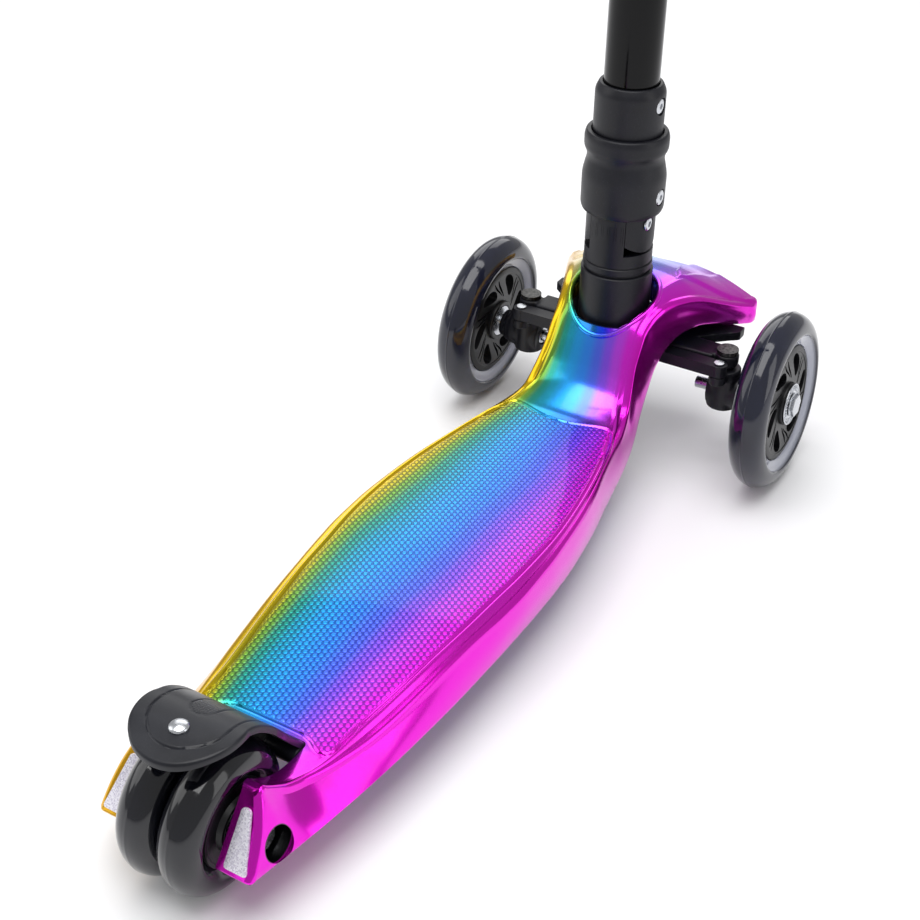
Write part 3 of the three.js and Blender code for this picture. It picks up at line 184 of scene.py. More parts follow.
plating = {
    "colours": [
        (0.00, "e60ccf"), (0.10, "ea24e4"), (0.19, "cc48f6"), (0.28, "9056fa"), (0.37, "5670fa"),
        (0.48, "3590fc"), (0.60, "28a4f0"), (0.70, "20a4c4"), (0.78, "28a08c"), (0.85, "72aa40"),
        (0.90, "bcb214"), (0.95, "e6c000"), (1.00, "dca600"),
    ],
    "drift": 1.6,  # how far the colour bands wander
    "studPitch": 3.5 * mm, "studRadius": 1.7 * mm, "studHeight": 0.3 * mm,
    "boltPlace": (rearAxleX, 0.0, rearAxleHeight * mm), "accessRadius": 9.1 * mm, "accessDeep": 47 * mm,
}


# Vacuum plated shell, colour running across the deck, with low studs on the foot pad, painted shade between
# the studs and inside the bolts' access holes
def makePlated(p):
    material, tree, coordinates = newMaterial("platedRainbowLacquer", Coat_Weight=0.35, Coat_Roughness=0.06)
    across, pad = (addNode(tree, "field", output="Fac", attribute_name=name) for name in ("across", "pad"))
    cloud = noise(tree, coordinates, 7.0, 1.5, 0.4)
    cloud = maths(tree, "SUBTRACT", cloud, 0.5)
    rest = maths(tree, "SUBTRACT", 1.0, across)
    middle = maths(tree, "MULTIPLY", across, rest)
    wander = maths(tree, "MULTIPLY", cloud, middle)
    place = maths(tree, "MULTIPLY_ADD", wander, p["drift"], across, use_clamp=True)
    colour = addNode(tree, "ramp", [place])
    fillRamp(colour.node, p["colours"], "EASE")
    distance = latticeDistance(tree, coordinates, p["studPitch"])
    stud = remap(tree, distance, 0.5 * p["studRadius"], p["studRadius"], 1.0, 0.0,
        interpolation_type="SMOOTHSTEP")
    # painted shade: the plating between the raised studs is multiplied darker with a6aeca, while the studs
    # keep the full colour
    deep = blend(tree, 1.0, colour, "a6aeca", blend_type="MULTIPLY")
    padShadedBetweenStuds = blend(tree, stud, deep, colour)
    colour = blend(tree, pad, colour, padShadedBetweenStuds)
    # painted shade: the bolts' access holes are painted near black (08080a) and not metallic, for the shade
    # deep inside them
    around = vector(tree, "SUBTRACT", coordinates, p["boltPlace"])
    shares = []
    for part, reach, fade in (((1.0, 0.0, 1.0), p["accessRadius"], 0.5 * mm),
            ((0.0, 1.0, 0.0), p["accessDeep"], mm)):
        away = vector(tree, "MULTIPLY", around, part)
        away = vector(tree, "LENGTH", away, output="Value")
        shares.append(remap(tree, away, reach, reach + fade, 1.0, 0.0))
    inside = maths(tree, "MULTIPLY", *shares)
    colour = blend(tree, inside, colour, "08080a")
    metal = remap(tree, inside, 0.0, 1.0, 0.92, 0.0)
    fine = noise(tree, coordinates, 900.0)
    rough = remap(tree, fine, 0.3, 0.7, 0.17, 0.23)
    rough = maths(tree, "MULTIPLY_ADD", pad, 0.13, rough)
    wavy = noise(tree, coordinates, 60.0, 1.0)
    normal = bump(tree, wavy, 0.05 * mm, 0.35)
    height = maths(tree, "MULTIPLY", stud, pad)
    normal = bump(tree, height, p["studHeight"], 1.0, Normal=normal)
    wire(tree, Base_Color=colour, Metallic=metal, Roughness=rough, Normal=normal)
    return material


# Moulded glass filled nylon: faint flow marks, fine grain and a scuffed sheen
def makeNylon(name, colour, lighter, roughness, grain=0.03, dots=False):
    material, tree, coordinates = newMaterial(name, Specular_IOR_Level=0.36)
    flow = noise(tree, coordinates, 38.0, 4.0, 0.55)
    speck = noise(tree, coordinates, 1400.0)
    share = remap(tree, flow, 0.35, 0.75, 0.0, 1.0)
    tone = blend(tree, share, colour, lighter)
    share = remap(tree, speck, 0.62, 0.8, 0.0, 0.25)
    tone = blend(tree, share, tone, "4a4c54")
    rough = remap(tree, flow, 0.3, 0.7, roughness - 0.06, roughness + 0.08)
    normal = bump(tree, speck, grain * mm, 0.6)
    if dots:
        mark = addNode(tree, "field", output="Fac", attribute_name="dots")
        distance = latticeDistance(tree, coordinates, 1.7 * mm)
        knob = remap(tree, distance, 0.3 * mm, 0.7 * mm, 1.0, 0.0, interpolation_type="SMOOTHSTEP")
        height = maths(tree, "MULTIPLY", knob, mark)
        normal = bump(tree, height, 0.25 * mm, 0.9, Normal=normal)
    wire(tree, Base_Color=tone, Roughness=rough, Normal=normal)
    return material


# Cast polyurethane, smoke grey and partly see-through, with faint flow clouds inside
def makeUrethane(name, colour, deeper, through):
    material, tree, coordinates = newMaterial(name, Transmission_Weight=through, Coat_Weight=0.3,
        Coat_Roughness=0.04, IOR=1.47)
    cloud = noise(tree, coordinates, 26.0, 3.0)
    share = remap(tree, cloud, 0.3, 0.7, 0.0, 1.0)
    tone = blend(tree, share, deeper, colour)
    # painted light: the marked lip band is painted light grey (b9bccb) for the light that shines through the
    # thin clear rim and its highlights
    lip = addNode(tree, "field", output="Fac", attribute_name="lip")
    tone = blend(tree, lip, tone, "b9bccb")
    dust = noise(tree, coordinates, 500.0, 3.0)
    rough = remap(tree, dust, 0.35, 0.75, 0.07, 0.16)
    normal = bump(tree, cloud, 0.08 * mm, 0.3)
    wire(tree, Base_Color=tone, Roughness=rough, Normal=normal)
    return material


# Steel and aluminium: a fine drawn or tumbled grain, which breaks up the reflections
def makeMetal(name, colour, roughness, grain, scale, stretch=(1.0, 1.0, 1.0), anisotropic=0.0):
    material, tree, coordinates = newMaterial(name, Metallic=1.0, Anisotropic=anisotropic)
    stretched = vector(tree, "MULTIPLY", coordinates, stretch)
    speck = noise(tree, stretched, scale, 3.0, 0.6)
    share = remap(tree, speck, 0.3, 0.7, 0.0, 0.16)
    tone = blend(tree, share, colour, "f3f1ea")
    rough = remap(tree, speck, 0.25, 0.75, roughness - 0.04, roughness + 0.06)
    normal = bump(tree, speck, grain * mm, 0.2)
    wire(tree, Base_Color=tone, Roughness=rough, Normal=normal)
    return material


# Gloss black powder coat with a slight orange peel
def makeBlackPaint():
    material, tree, coordinates = newMaterial("glossBlackPaintedSteel", Coat_Weight=0.1, Coat_Roughness=0.05,
        Specular_IOR_Level=0.15)
    peel = noise(tree, coordinates, 420.0)
    tone = blend(tree, peel, "040405", "070709")
    rough = remap(tree, peel, 0.3, 0.7, 0.10, 0.17)
    normal = bump(tree, peel, 0.02 * mm, 0.3)
    wire(tree, Base_Color=tone, Roughness=rough, Normal=normal)
    return material


# Soft moulded rubber: matt, slightly dusty
def makeGripRubber():
    material, tree, coordinates = newMaterial("softGripRubber", Sheen_Weight=0.15, Specular_IOR_Level=0.35)
    speck = noise(tree, coordinates, 1100.0, 4.0, 0.6)
    dusty = noise(tree, coordinates, 55.0, 3.0)
    tone = blend(tree, dusty, "17171a", "26272b")
    rough = remap(tree, dusty, 0.3, 0.7, 0.72, 0.86)
    normal = bump(tree, speck, 0.06 * mm, 0.8)
    wire(tree, Base_Color=tone, Roughness=rough, Normal=normal)
    return material


# Reflective film: tiny glass prisms under a clear face
def makeReflector():
    material, tree, coordinates = newMaterial("prismaticReflectorFilm", Metallic=0.25, Coat_Weight=0.8,
        Coat_Roughness=0.05)
    prisms = addNode(tree, "ShaderNodeTexVoronoi", {"Vector": coordinates, "Scale": 1300.0}, "Color")
    sparkle = addNode(tree, "ShaderNodeSeparateColor", [prisms])
    # painted sparkle: each prism cell is painted a little lighter or darker (cdc9da to f1eff7), standing in
    # for the glints of the prisms
    tone = addNode(tree, "ramp", [sparkle])
    fillRamp(tone.node, [(0.0, "cdc9da"), (0.4, "dedae8"), (1.0, "f1eff7")])
    rough = remap(tree, sparkle, 0.0, 1.0, 0.18, 0.42)
    normal = bump(tree, prisms.node.outputs["Distance"], 0.12 * mm, 0.5)
    wire(tree, Base_Color=tone, Roughness=rough, Normal=normal)
    return material


looks = {
    "plated": makePlated(plating),
    "nylon": makeNylon("mouldedBlackNylon", "0d0d14", "16171f", 0.42),
    "fender": makeNylon("satinBlackBrakeNylon", "15161c", "1e2028", 0.34, 0.02, dots=True),
    "core": makeNylon("wheelCoreNylon", "0e0e10", "17181b", 0.34, 0.02),
    "frontTyre": makeUrethane("smokeUrethane", "23263a", "171a2b", 0.36),
    "rearTyre": makeUrethane("blackUrethane", "14151d", "0b0c12", 0.08),
    "zinc": makeMetal("brightZincPlate", "c9ccd2", 0.24, 0.02, 600.0),
    "oxide": makeMetal("blackOxideSteel", "1d1e22", 0.4, 0.02, 500.0),
    "spring": makeMetal("springSteel", "8b8d92", 0.35, 0.02, 500.0, (1.0, 0.1, 1.0)),
    "anodised": makeMetal("satinAnodisedTube", "c3c5c9", 0.32, 0.015, 700.0, (1.0, 1.0, 0.04), 0.4),
    "paint": makeBlackPaint(),
    "rubber": makeGripRubber(),
    "reflector": makeReflector(),
}
print("materials made:", len(looks))


# Mesh helpers

def editMesh(mesh, change):
    work = bmesh.new()
    work.from_mesh(mesh)
    change(work)
    work.to_mesh(mesh)
    work.free()


def faceOutwards(work):
    bmesh.ops.recalc_face_normals(work, faces=work.faces)


def newPiece(name, points, faces, look, smoothAngle=32):
    mesh = bpy.data.meshes.new(name)
    mesh.from_pydata([rowPoint(*p) for p in points], [], faces)
    obj = addObject(name, mesh)
    editMesh(mesh, faceOutwards)
    mesh.materials.append(looks[look])
    smooth(obj, smoothAngle)
    return obj


# Faces between rings of points that follow one another
def bandFaces(rings, around, closedRings=False, closedAround=True, start=0):
    faces = []
    for r in range(rings if closedRings else rings - 1):
        low, high = start + r * around, start + (r + 1) % rings * around
        for k in range(around if closedAround else around - 1):
            ahead = (k + 1) % around
            faces.append((low + k, low + ahead, high + ahead, high + k))
    return faces


def weld(piece, distance):
    editMesh(piece.data, lambda work: bmesh.ops.remove_doubles(work, verts=work.verts, dist=distance))
    editMesh(piece.data, faceOutwards)


# Places of a mesh's points in drawing units
def pointPlaces(mesh):
    co = np.zeros(len(mesh.vertices) * 3)
    mesh.vertices.foreach_get("co", co)
    co = co.reshape(-1, 3) / mm
    return co[:, 0] - rearAxleX / mm, co[:, 1], co[:, 2]


def storeField(mesh, name, values):
    field = mesh.attributes.get(name) or mesh.attributes.new(name, "FLOAT", "POINT")
    field.data.foreach_set("value", values.astype(np.float32))


def smooth(obj, angle):
    obj.data.shade_smooth()
    obj.data.set_sharp_from_angle(angle=math.radians(angle))


def bake(obj, angle=None):
    bpy.context.view_layer.update()
    graph = bpy.context.evaluated_depsgraph_get()
    mesh = bpy.data.meshes.new_from_object(obj.evaluated_get(graph))
    obj.modifiers.clear()
    old = obj.data
    obj.data = mesh
    mesh.name = old.name
    bpy.data.meshes.remove(old)
    if angle is not None:
        smooth(obj, angle)
    return obj


def discard(obj):
    mesh = obj.data
    bpy.data.objects.remove(obj)
    bpy.data.meshes.remove(mesh)


def merge(first, *others):
    joined = bmesh.new()
    for obj in (first, *others):
        joined.from_mesh(obj.data)
    joined.to_mesh(first.data)
    joined.free()
    for obj in others:
        discard(obj)
    return first


def carve(obj, cutters, operation="DIFFERENCE", angle=32):
    for cutter in cutters:
        modifier = obj.modifiers.new("carve", "BOOLEAN")
        modifier.operation = operation
        modifier.solver = "MANIFOLD"
        modifier.object = cutter
    bake(obj, angle)
    for cutter in cutters:
        discard(cutter)
    return obj


# Rounds the corners of an outline; radii may be one number or one for each corner
def roundCorners(points, radius, steps=4, closed=True):
    rounded = []
    count = len(points)
    for k, point in enumerate(points):
        size = radius[k] if isinstance(radius, (list, tuple)) else radius
        here = Vector(point)
        if size <= 0 or (not closed and k in (0, count - 1)):
            rounded.append(tuple(here))
            continue
        before = Vector(points[k - 1]) - here
        after = Vector(points[(k + 1) % count]) - here
        reach = min(size, before.length * 0.49, after.length * 0.49)
        start = here + before.normalized() * reach
        end = here + after.normalized() * reach
        for step in range(steps + 1):
            t = step / steps
            rounded.append(tuple(start * (1 - t) ** 2 + here * 2 * t * (1 - t) + end * t ** 2))
    return rounded


axisUp = (0, 0, 1)
axisAcross = (0, 1, 0)


# A turned piece. The profile is [radius, place along the axis]; a closed one makes a ring.
def turn(name, profile, look, origin=(0, 0, 0), axis=axisUp, segments=96, closed=True, angle=32):
    along = Vector(axis).normalized()
    side = along.orthogonal().normalized() if abs(along.z) < 0.9 else Vector((1, 0, 0))
    side = (side - along * side.dot(along)).normalized()
    other = along.cross(side)
    base = Vector(origin)
    points = []
    for s in range(segments):
        turnAngle = 2 * math.pi * s / segments
        out = side * math.cos(turnAngle) + other * math.sin(turnAngle)
        points += [base + along * p[1] + out * p[0] for p in profile]
    faces = bandFaces(segments, len(profile), closedRings=True, closedAround=closed)
    piece = newPiece(name, points, faces, look, angle)
    weld(piece, 1e-7)
    smooth(piece, angle)
    return piece


def rod(name, radius, start, end, look, segments=64, edge=0.0, angle=32):
    axis = Vector(end) - Vector(start)
    profile = [(0, 0), (radius, 0), (radius, axis.length), (0, axis.length)]
    if edge:
        profile = roundCorners(profile, edge, 3, closed=False)
    return turn(name, profile, look, start, axis, segments, closed=False, angle=angle)


planes = {
    "xy": lambda a, b, c: (a, b, c),
    "xz": lambda a, b, c: (a, c, b),
    "yz": lambda a, b, c: (c, a, b),
}


# An outline in one plane, raised from one place to another along the third axis
def prism(name, outline, plane, low, high, look, edge=0.0, steps=3, angle=32):
    place = planes[plane]
    count = len(outline)
    points = [place(a, b, low) for a, b in outline] + [place(a, b, high) for a, b in outline]
    faces = [tuple(range(count)), tuple(range(count, 2 * count))] + bandFaces(2, count)
    piece = newPiece(name, points, faces, look, angle)
    if edge:
        bevelled = bmesh.new()
        bevelled.from_mesh(piece.data)
        rims = [e for e in bevelled.edges if len(e.link_faces) == 2 and e.calc_face_angle(0) > 1.2]
        bmesh.ops.bevel(bevelled, geom=rims, offset=edge * mm, segments=steps, profile=0.5, affect="EDGES",
            clamp_overlap=True)
        bevelled.to_mesh(piece.data)
        bevelled.free()
        smooth(piece, angle)
    return piece


def box(name, low, high, look, edge=0.0):
    outline = [(low[0], low[1]), (high[0], low[1]), (high[0], high[1]), (low[0], high[1])]
    return prism(name, outline, "xy", low[2], high[2], look, edge)


# Melts overlapping forms into one moulding with soft inner corners
def mould(name, parts, voxel, relax, angle=60):
    piece = merge(*parts) if len(parts) > 1 else parts[0]
    piece.name = name
    remesh = piece.modifiers.new("melt", "REMESH")
    remesh.mode = "VOXEL"
    remesh.voxel_size = voxel * mm
    soften = piece.modifiers.new("soften", "SMOOTH")
    soften.factor = 0.5
    soften.iterations = relax
    material = piece.data.materials[0]
    bake(piece)
    piece.data.materials.clear()
    piece.data.materials.append(material)
    smooth(piece, angle)
    return piece


def mirrorPiece(piece, name):
    mesh = piece.data.copy()
    mesh.name = name
    editMesh(mesh, lambda work: bmesh.ops.scale(work, vec=(1, -1, 1), verts=work.verts))
    editMesh(mesh, lambda work: bmesh.ops.reverse_faces(work, faces=work.faces))
    return addObject(name, mesh)


def place(piece, body, slot, *nodes):
    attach(piece, body)
    if nodes:
        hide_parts(*nodes)
    return piece


# A right-hand piece and its mirror image on the left
def placePair(piece, nameEnd, body, slot, *nodes):
    left = mirrorPiece(piece, "left" + nameEnd)
    piece.name = "right" + nameEnd
    for side, obj in (("right", piece), ("left", left)):
        place(obj, body.replace("SIDE", side), slot, *[n.replace("SIDE", side) for n in nodes])


# Geometry Nodes trees for what repeats

# Copies a small form round an axis, or along it, and gives it its material
def repeatTree(name, ringLayout):
    tree = bpy.data.node_groups.new(name, "GeometryNodeTree")
    for socket, kind in (("Geometry", "Geometry"), ("Count", "Int"), ("Step", "Float"), ("Middle", "Vector"),
            ("Direction", "Vector"), ("Finish", "Material")):
        tree.interface.new_socket(name=socket, in_out="INPUT", socket_type="NodeSocket" + kind)
    tree.interface.new_socket(name="Geometry", in_out="OUTPUT", socket_type="NodeSocketGeometry")
    given = addNode(tree, "NodeGroupInput").node.outputs
    index = addNode(tree, "GeometryNodeInputIndex")
    travel = maths(tree, "MULTIPLY", index, given["Step"])
    points = addNode(tree, "GeometryNodePoints", {"Count": given["Count"]})
    back = addNode(tree, "vector", {0: given["Middle"], "Scale": -1.0}, operation="SCALE")
    form = addNode(tree, "GeometryNodeTransform", {"Geometry": given["Geometry"], "Translation": back})
    placing = {"Points": points, "Instance": form}
    shift = given["Middle"]
    if ringLayout:
        placing["Rotation"] = addNode(tree, "FunctionNodeAxisAngleToRotation", {
            "Axis": given["Direction"], "Angle": travel})
    else:
        moved = addNode(tree, "vector", {0: given["Direction"], "Scale": travel}, operation="SCALE")
        shift = vector(tree, "ADD", moved, shift)
    copies = addNode(tree, "GeometryNodeInstanceOnPoints", placing)
    copies = addNode(tree, "GeometryNodeTranslateInstances", {
        "Instances": copies, "Translation": shift, "Local Space": False})
    real = addNode(tree, "GeometryNodeRealizeInstances", {"Geometry": copies})
    done = addNode(tree, "GeometryNodeSetMaterial", {"Geometry": real, "Material": given["Finish"]})
    addNode(tree, "NodeGroupOutput", {"Geometry": done})
    return tree


ringTree = repeatTree("repeatRoundAxis", True)
rowTree = repeatTree("repeatAlongAxis", False)


def repeated(piece, tree, count, step, middle, direction, look):
    modifier = piece.modifiers.new("repeat", "NODES")
    modifier.node_group = tree
    values = {"Count": count, "Step": step, "Middle": rowPoint(*middle), "Direction": direction,
        "Finish": looks[look]}
    for item in tree.interface.items_tree:
        if item.in_out == "INPUT" and item.name in values:
            value = values[item.name]
            modifier[item.identifier] = tuple(value) if item.name in ("Middle", "Direction") else value
    piece.data.materials.clear()
    bake(piece, 32)
    return piece


# Deck: one moulded and plated shell

deck = {
    "wheelbase": 468.0, "halfWidth": 65.5, "headHeight": 130.0,
    "wall": 3.2, "skin": 3.0, "rib": 2.8, "pocketCount": 6, "bulkhead": 6.0, "headCavityStart": 398.0,
    "shoulderDrop": 4.5, "grooveHalf": 0.95, "grooveDepth": 1.0,
    "holePlayAcross": 5.1, "holePlayAlong": 3.9, "holeLip": 1.9, "liningWall": 1.2, "liningFoot": 110.0,
    "headReach": 56.0, "notchDepth": 13.0, "notchHalf": 24.0, "tipRound": 9.0,
    "slotHalf": 26.2, "slotFront": 52.6,
    "rearFoot": (-22.0, 31.4), "rearRun": 22.0, "rearRise": 34.0, "rearRound": 3.0,
    "wingPanelRise": 1.9,
}

# Rows from rear to front: place, then foot half and height, ridge half and height, pad half and
# height, and the middle's height, as shares of the wheelbase, the half width and the head's height
deckRows = [
    (-0.0513, 0.695, 0.238, 0.556, 0.562, 0.500, 0.565, 0.565),
    (0.0043, 0.756, 0.231, 0.559, 0.538, 0.500, 0.542, 0.542),
    (0.0171, 0.773, 0.231, 0.560, 0.496, 0.500, 0.500, 0.500),
    (0.0321, 0.791, 0.231, 0.566, 0.452, 0.505, 0.457, 0.457),
    (0.0470, 0.809, 0.231, 0.579, 0.417, 0.515, 0.422, 0.422),
    (0.0641, 0.828, 0.231, 0.595, 0.394, 0.530, 0.400, 0.400),
    (0.0855, 0.849, 0.231, 0.641, 0.382, 0.560, 0.389, 0.390),
    (0.1068, 0.870, 0.231, 0.684, 0.377, 0.585, 0.386, 0.388),
    (0.1496, 0.904, 0.231, 0.754, 0.375, 0.618, 0.395, 0.398),
    (0.1923, 0.931, 0.231, 0.806, 0.384, 0.658, 0.406, 0.410),
    (0.2350, 0.954, 0.231, 0.844, 0.399, 0.702, 0.422, 0.426),
    (0.2885, 0.976, 0.231, 0.884, 0.420, 0.747, 0.441, 0.444),
    (0.3419, 0.989, 0.231, 0.922, 0.432, 0.794, 0.455, 0.458),
    (0.3953, 0.998, 0.231, 0.965, 0.439, 0.824, 0.463, 0.466),
    (0.4487, 1.000, 0.231, 0.989, 0.448, 0.858, 0.472, 0.475),
    (0.5021, 0.995, 0.231, 0.986, 0.455, 0.870, 0.476, 0.479),
    (0.5556, 0.976, 0.231, 0.960, 0.458, 0.861, 0.476, 0.479),
    (0.6090, 0.934, 0.231, 0.921, 0.461, 0.824, 0.477, 0.480),
    (0.6624, 0.876, 0.231, 0.855, 0.464, 0.769, 0.477, 0.480),
    (0.7158, 0.800, 0.231, 0.769, 0.468, 0.701, 0.479, 0.483),
    (0.7585, 0.745, 0.235, 0.711, 0.471, 0.634, 0.482, 0.486),
    (0.7906, 0.708, 0.246, 0.673, 0.475, 0.534, 0.488, 0.495),
    (0.8120, 0.684, 0.262, 0.635, 0.484, 0.489, 0.508, 0.523),
    (0.8333, 0.656, 0.285, 0.588, 0.512, 0.427, 0.546, 0.569),
    (0.8547, 0.626, 0.331, 0.540, 0.608, 0.382, 0.631, 0.654),
    (0.8761, 0.595, 0.408, 0.501, 0.738, 0.336, 0.754, 0.769),
    (0.8974, 0.580, 0.500, 0.499, 0.846, 0.321, 0.862, 0.869),
    (0.9188, 0.573, 0.592, 0.527, 0.905, 0.336, 0.923, 0.935),
    (0.9402, 0.595, 0.665, 0.573, 0.934, 0.366, 0.958, 0.973),
    (0.9615, 0.641, 0.719, 0.629, 0.942, 0.397, 0.977, 0.992),
    (0.9829, 0.702, 0.742, 0.693, 0.935, 0.427, 0.981, 1.000),
    (1.0043, 0.769, 0.746, 0.760, 0.917, 0.458, 0.977, 0.997),
    (1.0256, 0.840, 0.731, 0.832, 0.887, 0.489, 0.958, 0.985),
    (1.0470, 0.910, 0.708, 0.902, 0.852, 0.519, 0.935, 0.965),
    (1.0684, 0.980, 0.681, 0.973, 0.817, 0.550, 0.904, 0.938),
    (1.0897, 1.047, 0.658, 1.041, 0.787, 0.580, 0.869, 0.908),
    (1.1068, 1.092, 0.646, 1.084, 0.768, 0.595, 0.846, 0.885),
    (1.1218, 1.092, 0.646, 1.076, 0.758, 0.595, 0.831, 0.862),
]
deckTable = np.array(deckRows) * np.array([deck["wheelbase"]] + [deck["halfWidth"], deck["headHeight"]] * 3
    + [deck["headHeight"]])


# A smooth curve through the rows that never overshoots them
def sectionSizes(x):
    places = deckTable[:, 0]
    values = deckTable[:, 1:]
    widths = np.diff(places)[:, None]
    slopes = np.diff(values, axis=0) / widths
    tangents = np.zeros_like(values)
    same = slopes[:-1] * slopes[1:] > 0
    total = widths[:-1] + widths[1:]
    weights = (widths[1:] * 2 + widths[:-1]) / (3 * total), (widths[:-1] * 2 + widths[1:]) / (3 * total)
    safe = np.where(same, slopes[:-1], 1.0), np.where(same, slopes[1:], 1.0)
    tangents[1:-1] = np.where(same, 1 / (weights[0] / safe[0] + weights[1] / safe[1]), 0.0)
    tangents[0] = slopes[0]
    tangents[-1] = slopes[-1]
    x = np.clip(np.atleast_1d(x), places[0], places[-1])
    k = np.clip(np.searchsorted(places, x) - 1, 0, len(places) - 2)
    h = (places[k + 1] - places[k])[:, None]
    t = ((x - places[k]) / h[:, 0])[:, None]
    return ((2 * t ** 3 - 3 * t ** 2 + 1) * values[k] + (t ** 3 - 2 * t ** 2 + t) * h * tangents[k]
            + (3 * t ** 2 - 2 * t ** 3) * values[k + 1] + (t ** 3 - t ** 2) * h * tangents[k + 1])


# Outline of the foot pad, seen from above: the groove that rings the studded field
padEdgeRows = [
    (58.8, 40.5), (64, 40.6), (85, 42.4), (110, 46), (135, 48.9), (160, 52), (185, 54), (210, 56.2),
    (235, 57), (260, 56.4), (285, 54), (310, 50.4), (335, 45.9), (352, 41.8), (362, 38.6),
]
padFrontRows = [(368, 36.6), (370.5, 34), (370.8, 31), (369.2, 24), (366.6, 16), (364.8, 8), (364.2, 0)]
padRearRows = [(56.5, 0), (56.5, 14), (56.2, 21), (54.6, 26), (51.6, 31), (50.2, 35), (51.2, 38.6),
    (54.6, 40.4)]


def curveThrough(points, steps):
    out = []
    count = len(points)
    for k in range(count - 1):
        p0, p1, p2, p3 = (np.array(points[min(max(k + d, 0), count - 1)]) for d in (-1, 0, 1, 2))
        for step in range(steps):
            t = step / steps
            out.append(0.5 * (2 * p1 + (p2 - p0) * t + (2 * p0 - 5 * p1 + 4 * p2 - p3) * t ** 2
                + (3 * p1 - p0 - 3 * p2 + p3) * t ** 3))
    out.append(np.array(points[-1]))
    return out


padHalf = curveThrough(padRearRows + padEdgeRows + padFrontRows, 6)
padOutline = np.array(padHalf + [np.array((p[0], -p[1])) for p in padHalf[-2:0:-1]])


# Signed distance in millimetres from a closed outline, positive inside
def insideDistance(x, y, outline):
    x, y = np.asarray(x, float), np.asarray(y, float)
    best = np.full(x.shape, 1e9)
    inside = np.zeros(x.shape, bool)
    ends = np.roll(outline, -1, axis=0)
    for (ax, ay), (bx, by) in zip(outline, ends):
        dx, dy = bx - ax, by - ay
        length = dx * dx + dy * dy
        if length < 1e-12:
            continue
        t = np.clip(((x - ax) * dx + (y - ay) * dy) / length, 0, 1)
        best = np.minimum(best, np.hypot(x - ax - t * dx, y - ay - t * dy))
        crosses = (ay > y) != (by > y)
        with np.errstate(divide="ignore", invalid="ignore"):
            inside ^= crosses & (x < (bx - ax) * (y - ay) / (by - ay if by != ay else 1e-12) + ax)
    return np.where(inside, best, -best)


def smoothStep(value, low, high):
    t = np.clip((value - low) / (high - low), 0, 1)
    return t * t * (3 - 2 * t)


# Raised panel on top of each wing: from a slanted end near the column out to the tip
wingPanel = np.array([(474, 30), (479, 34), (486, 43), (494, 52), (503, 60.5), (512, 66.5), (530, 78),
    (530, 20), (500, 20), (486, 24)], float)


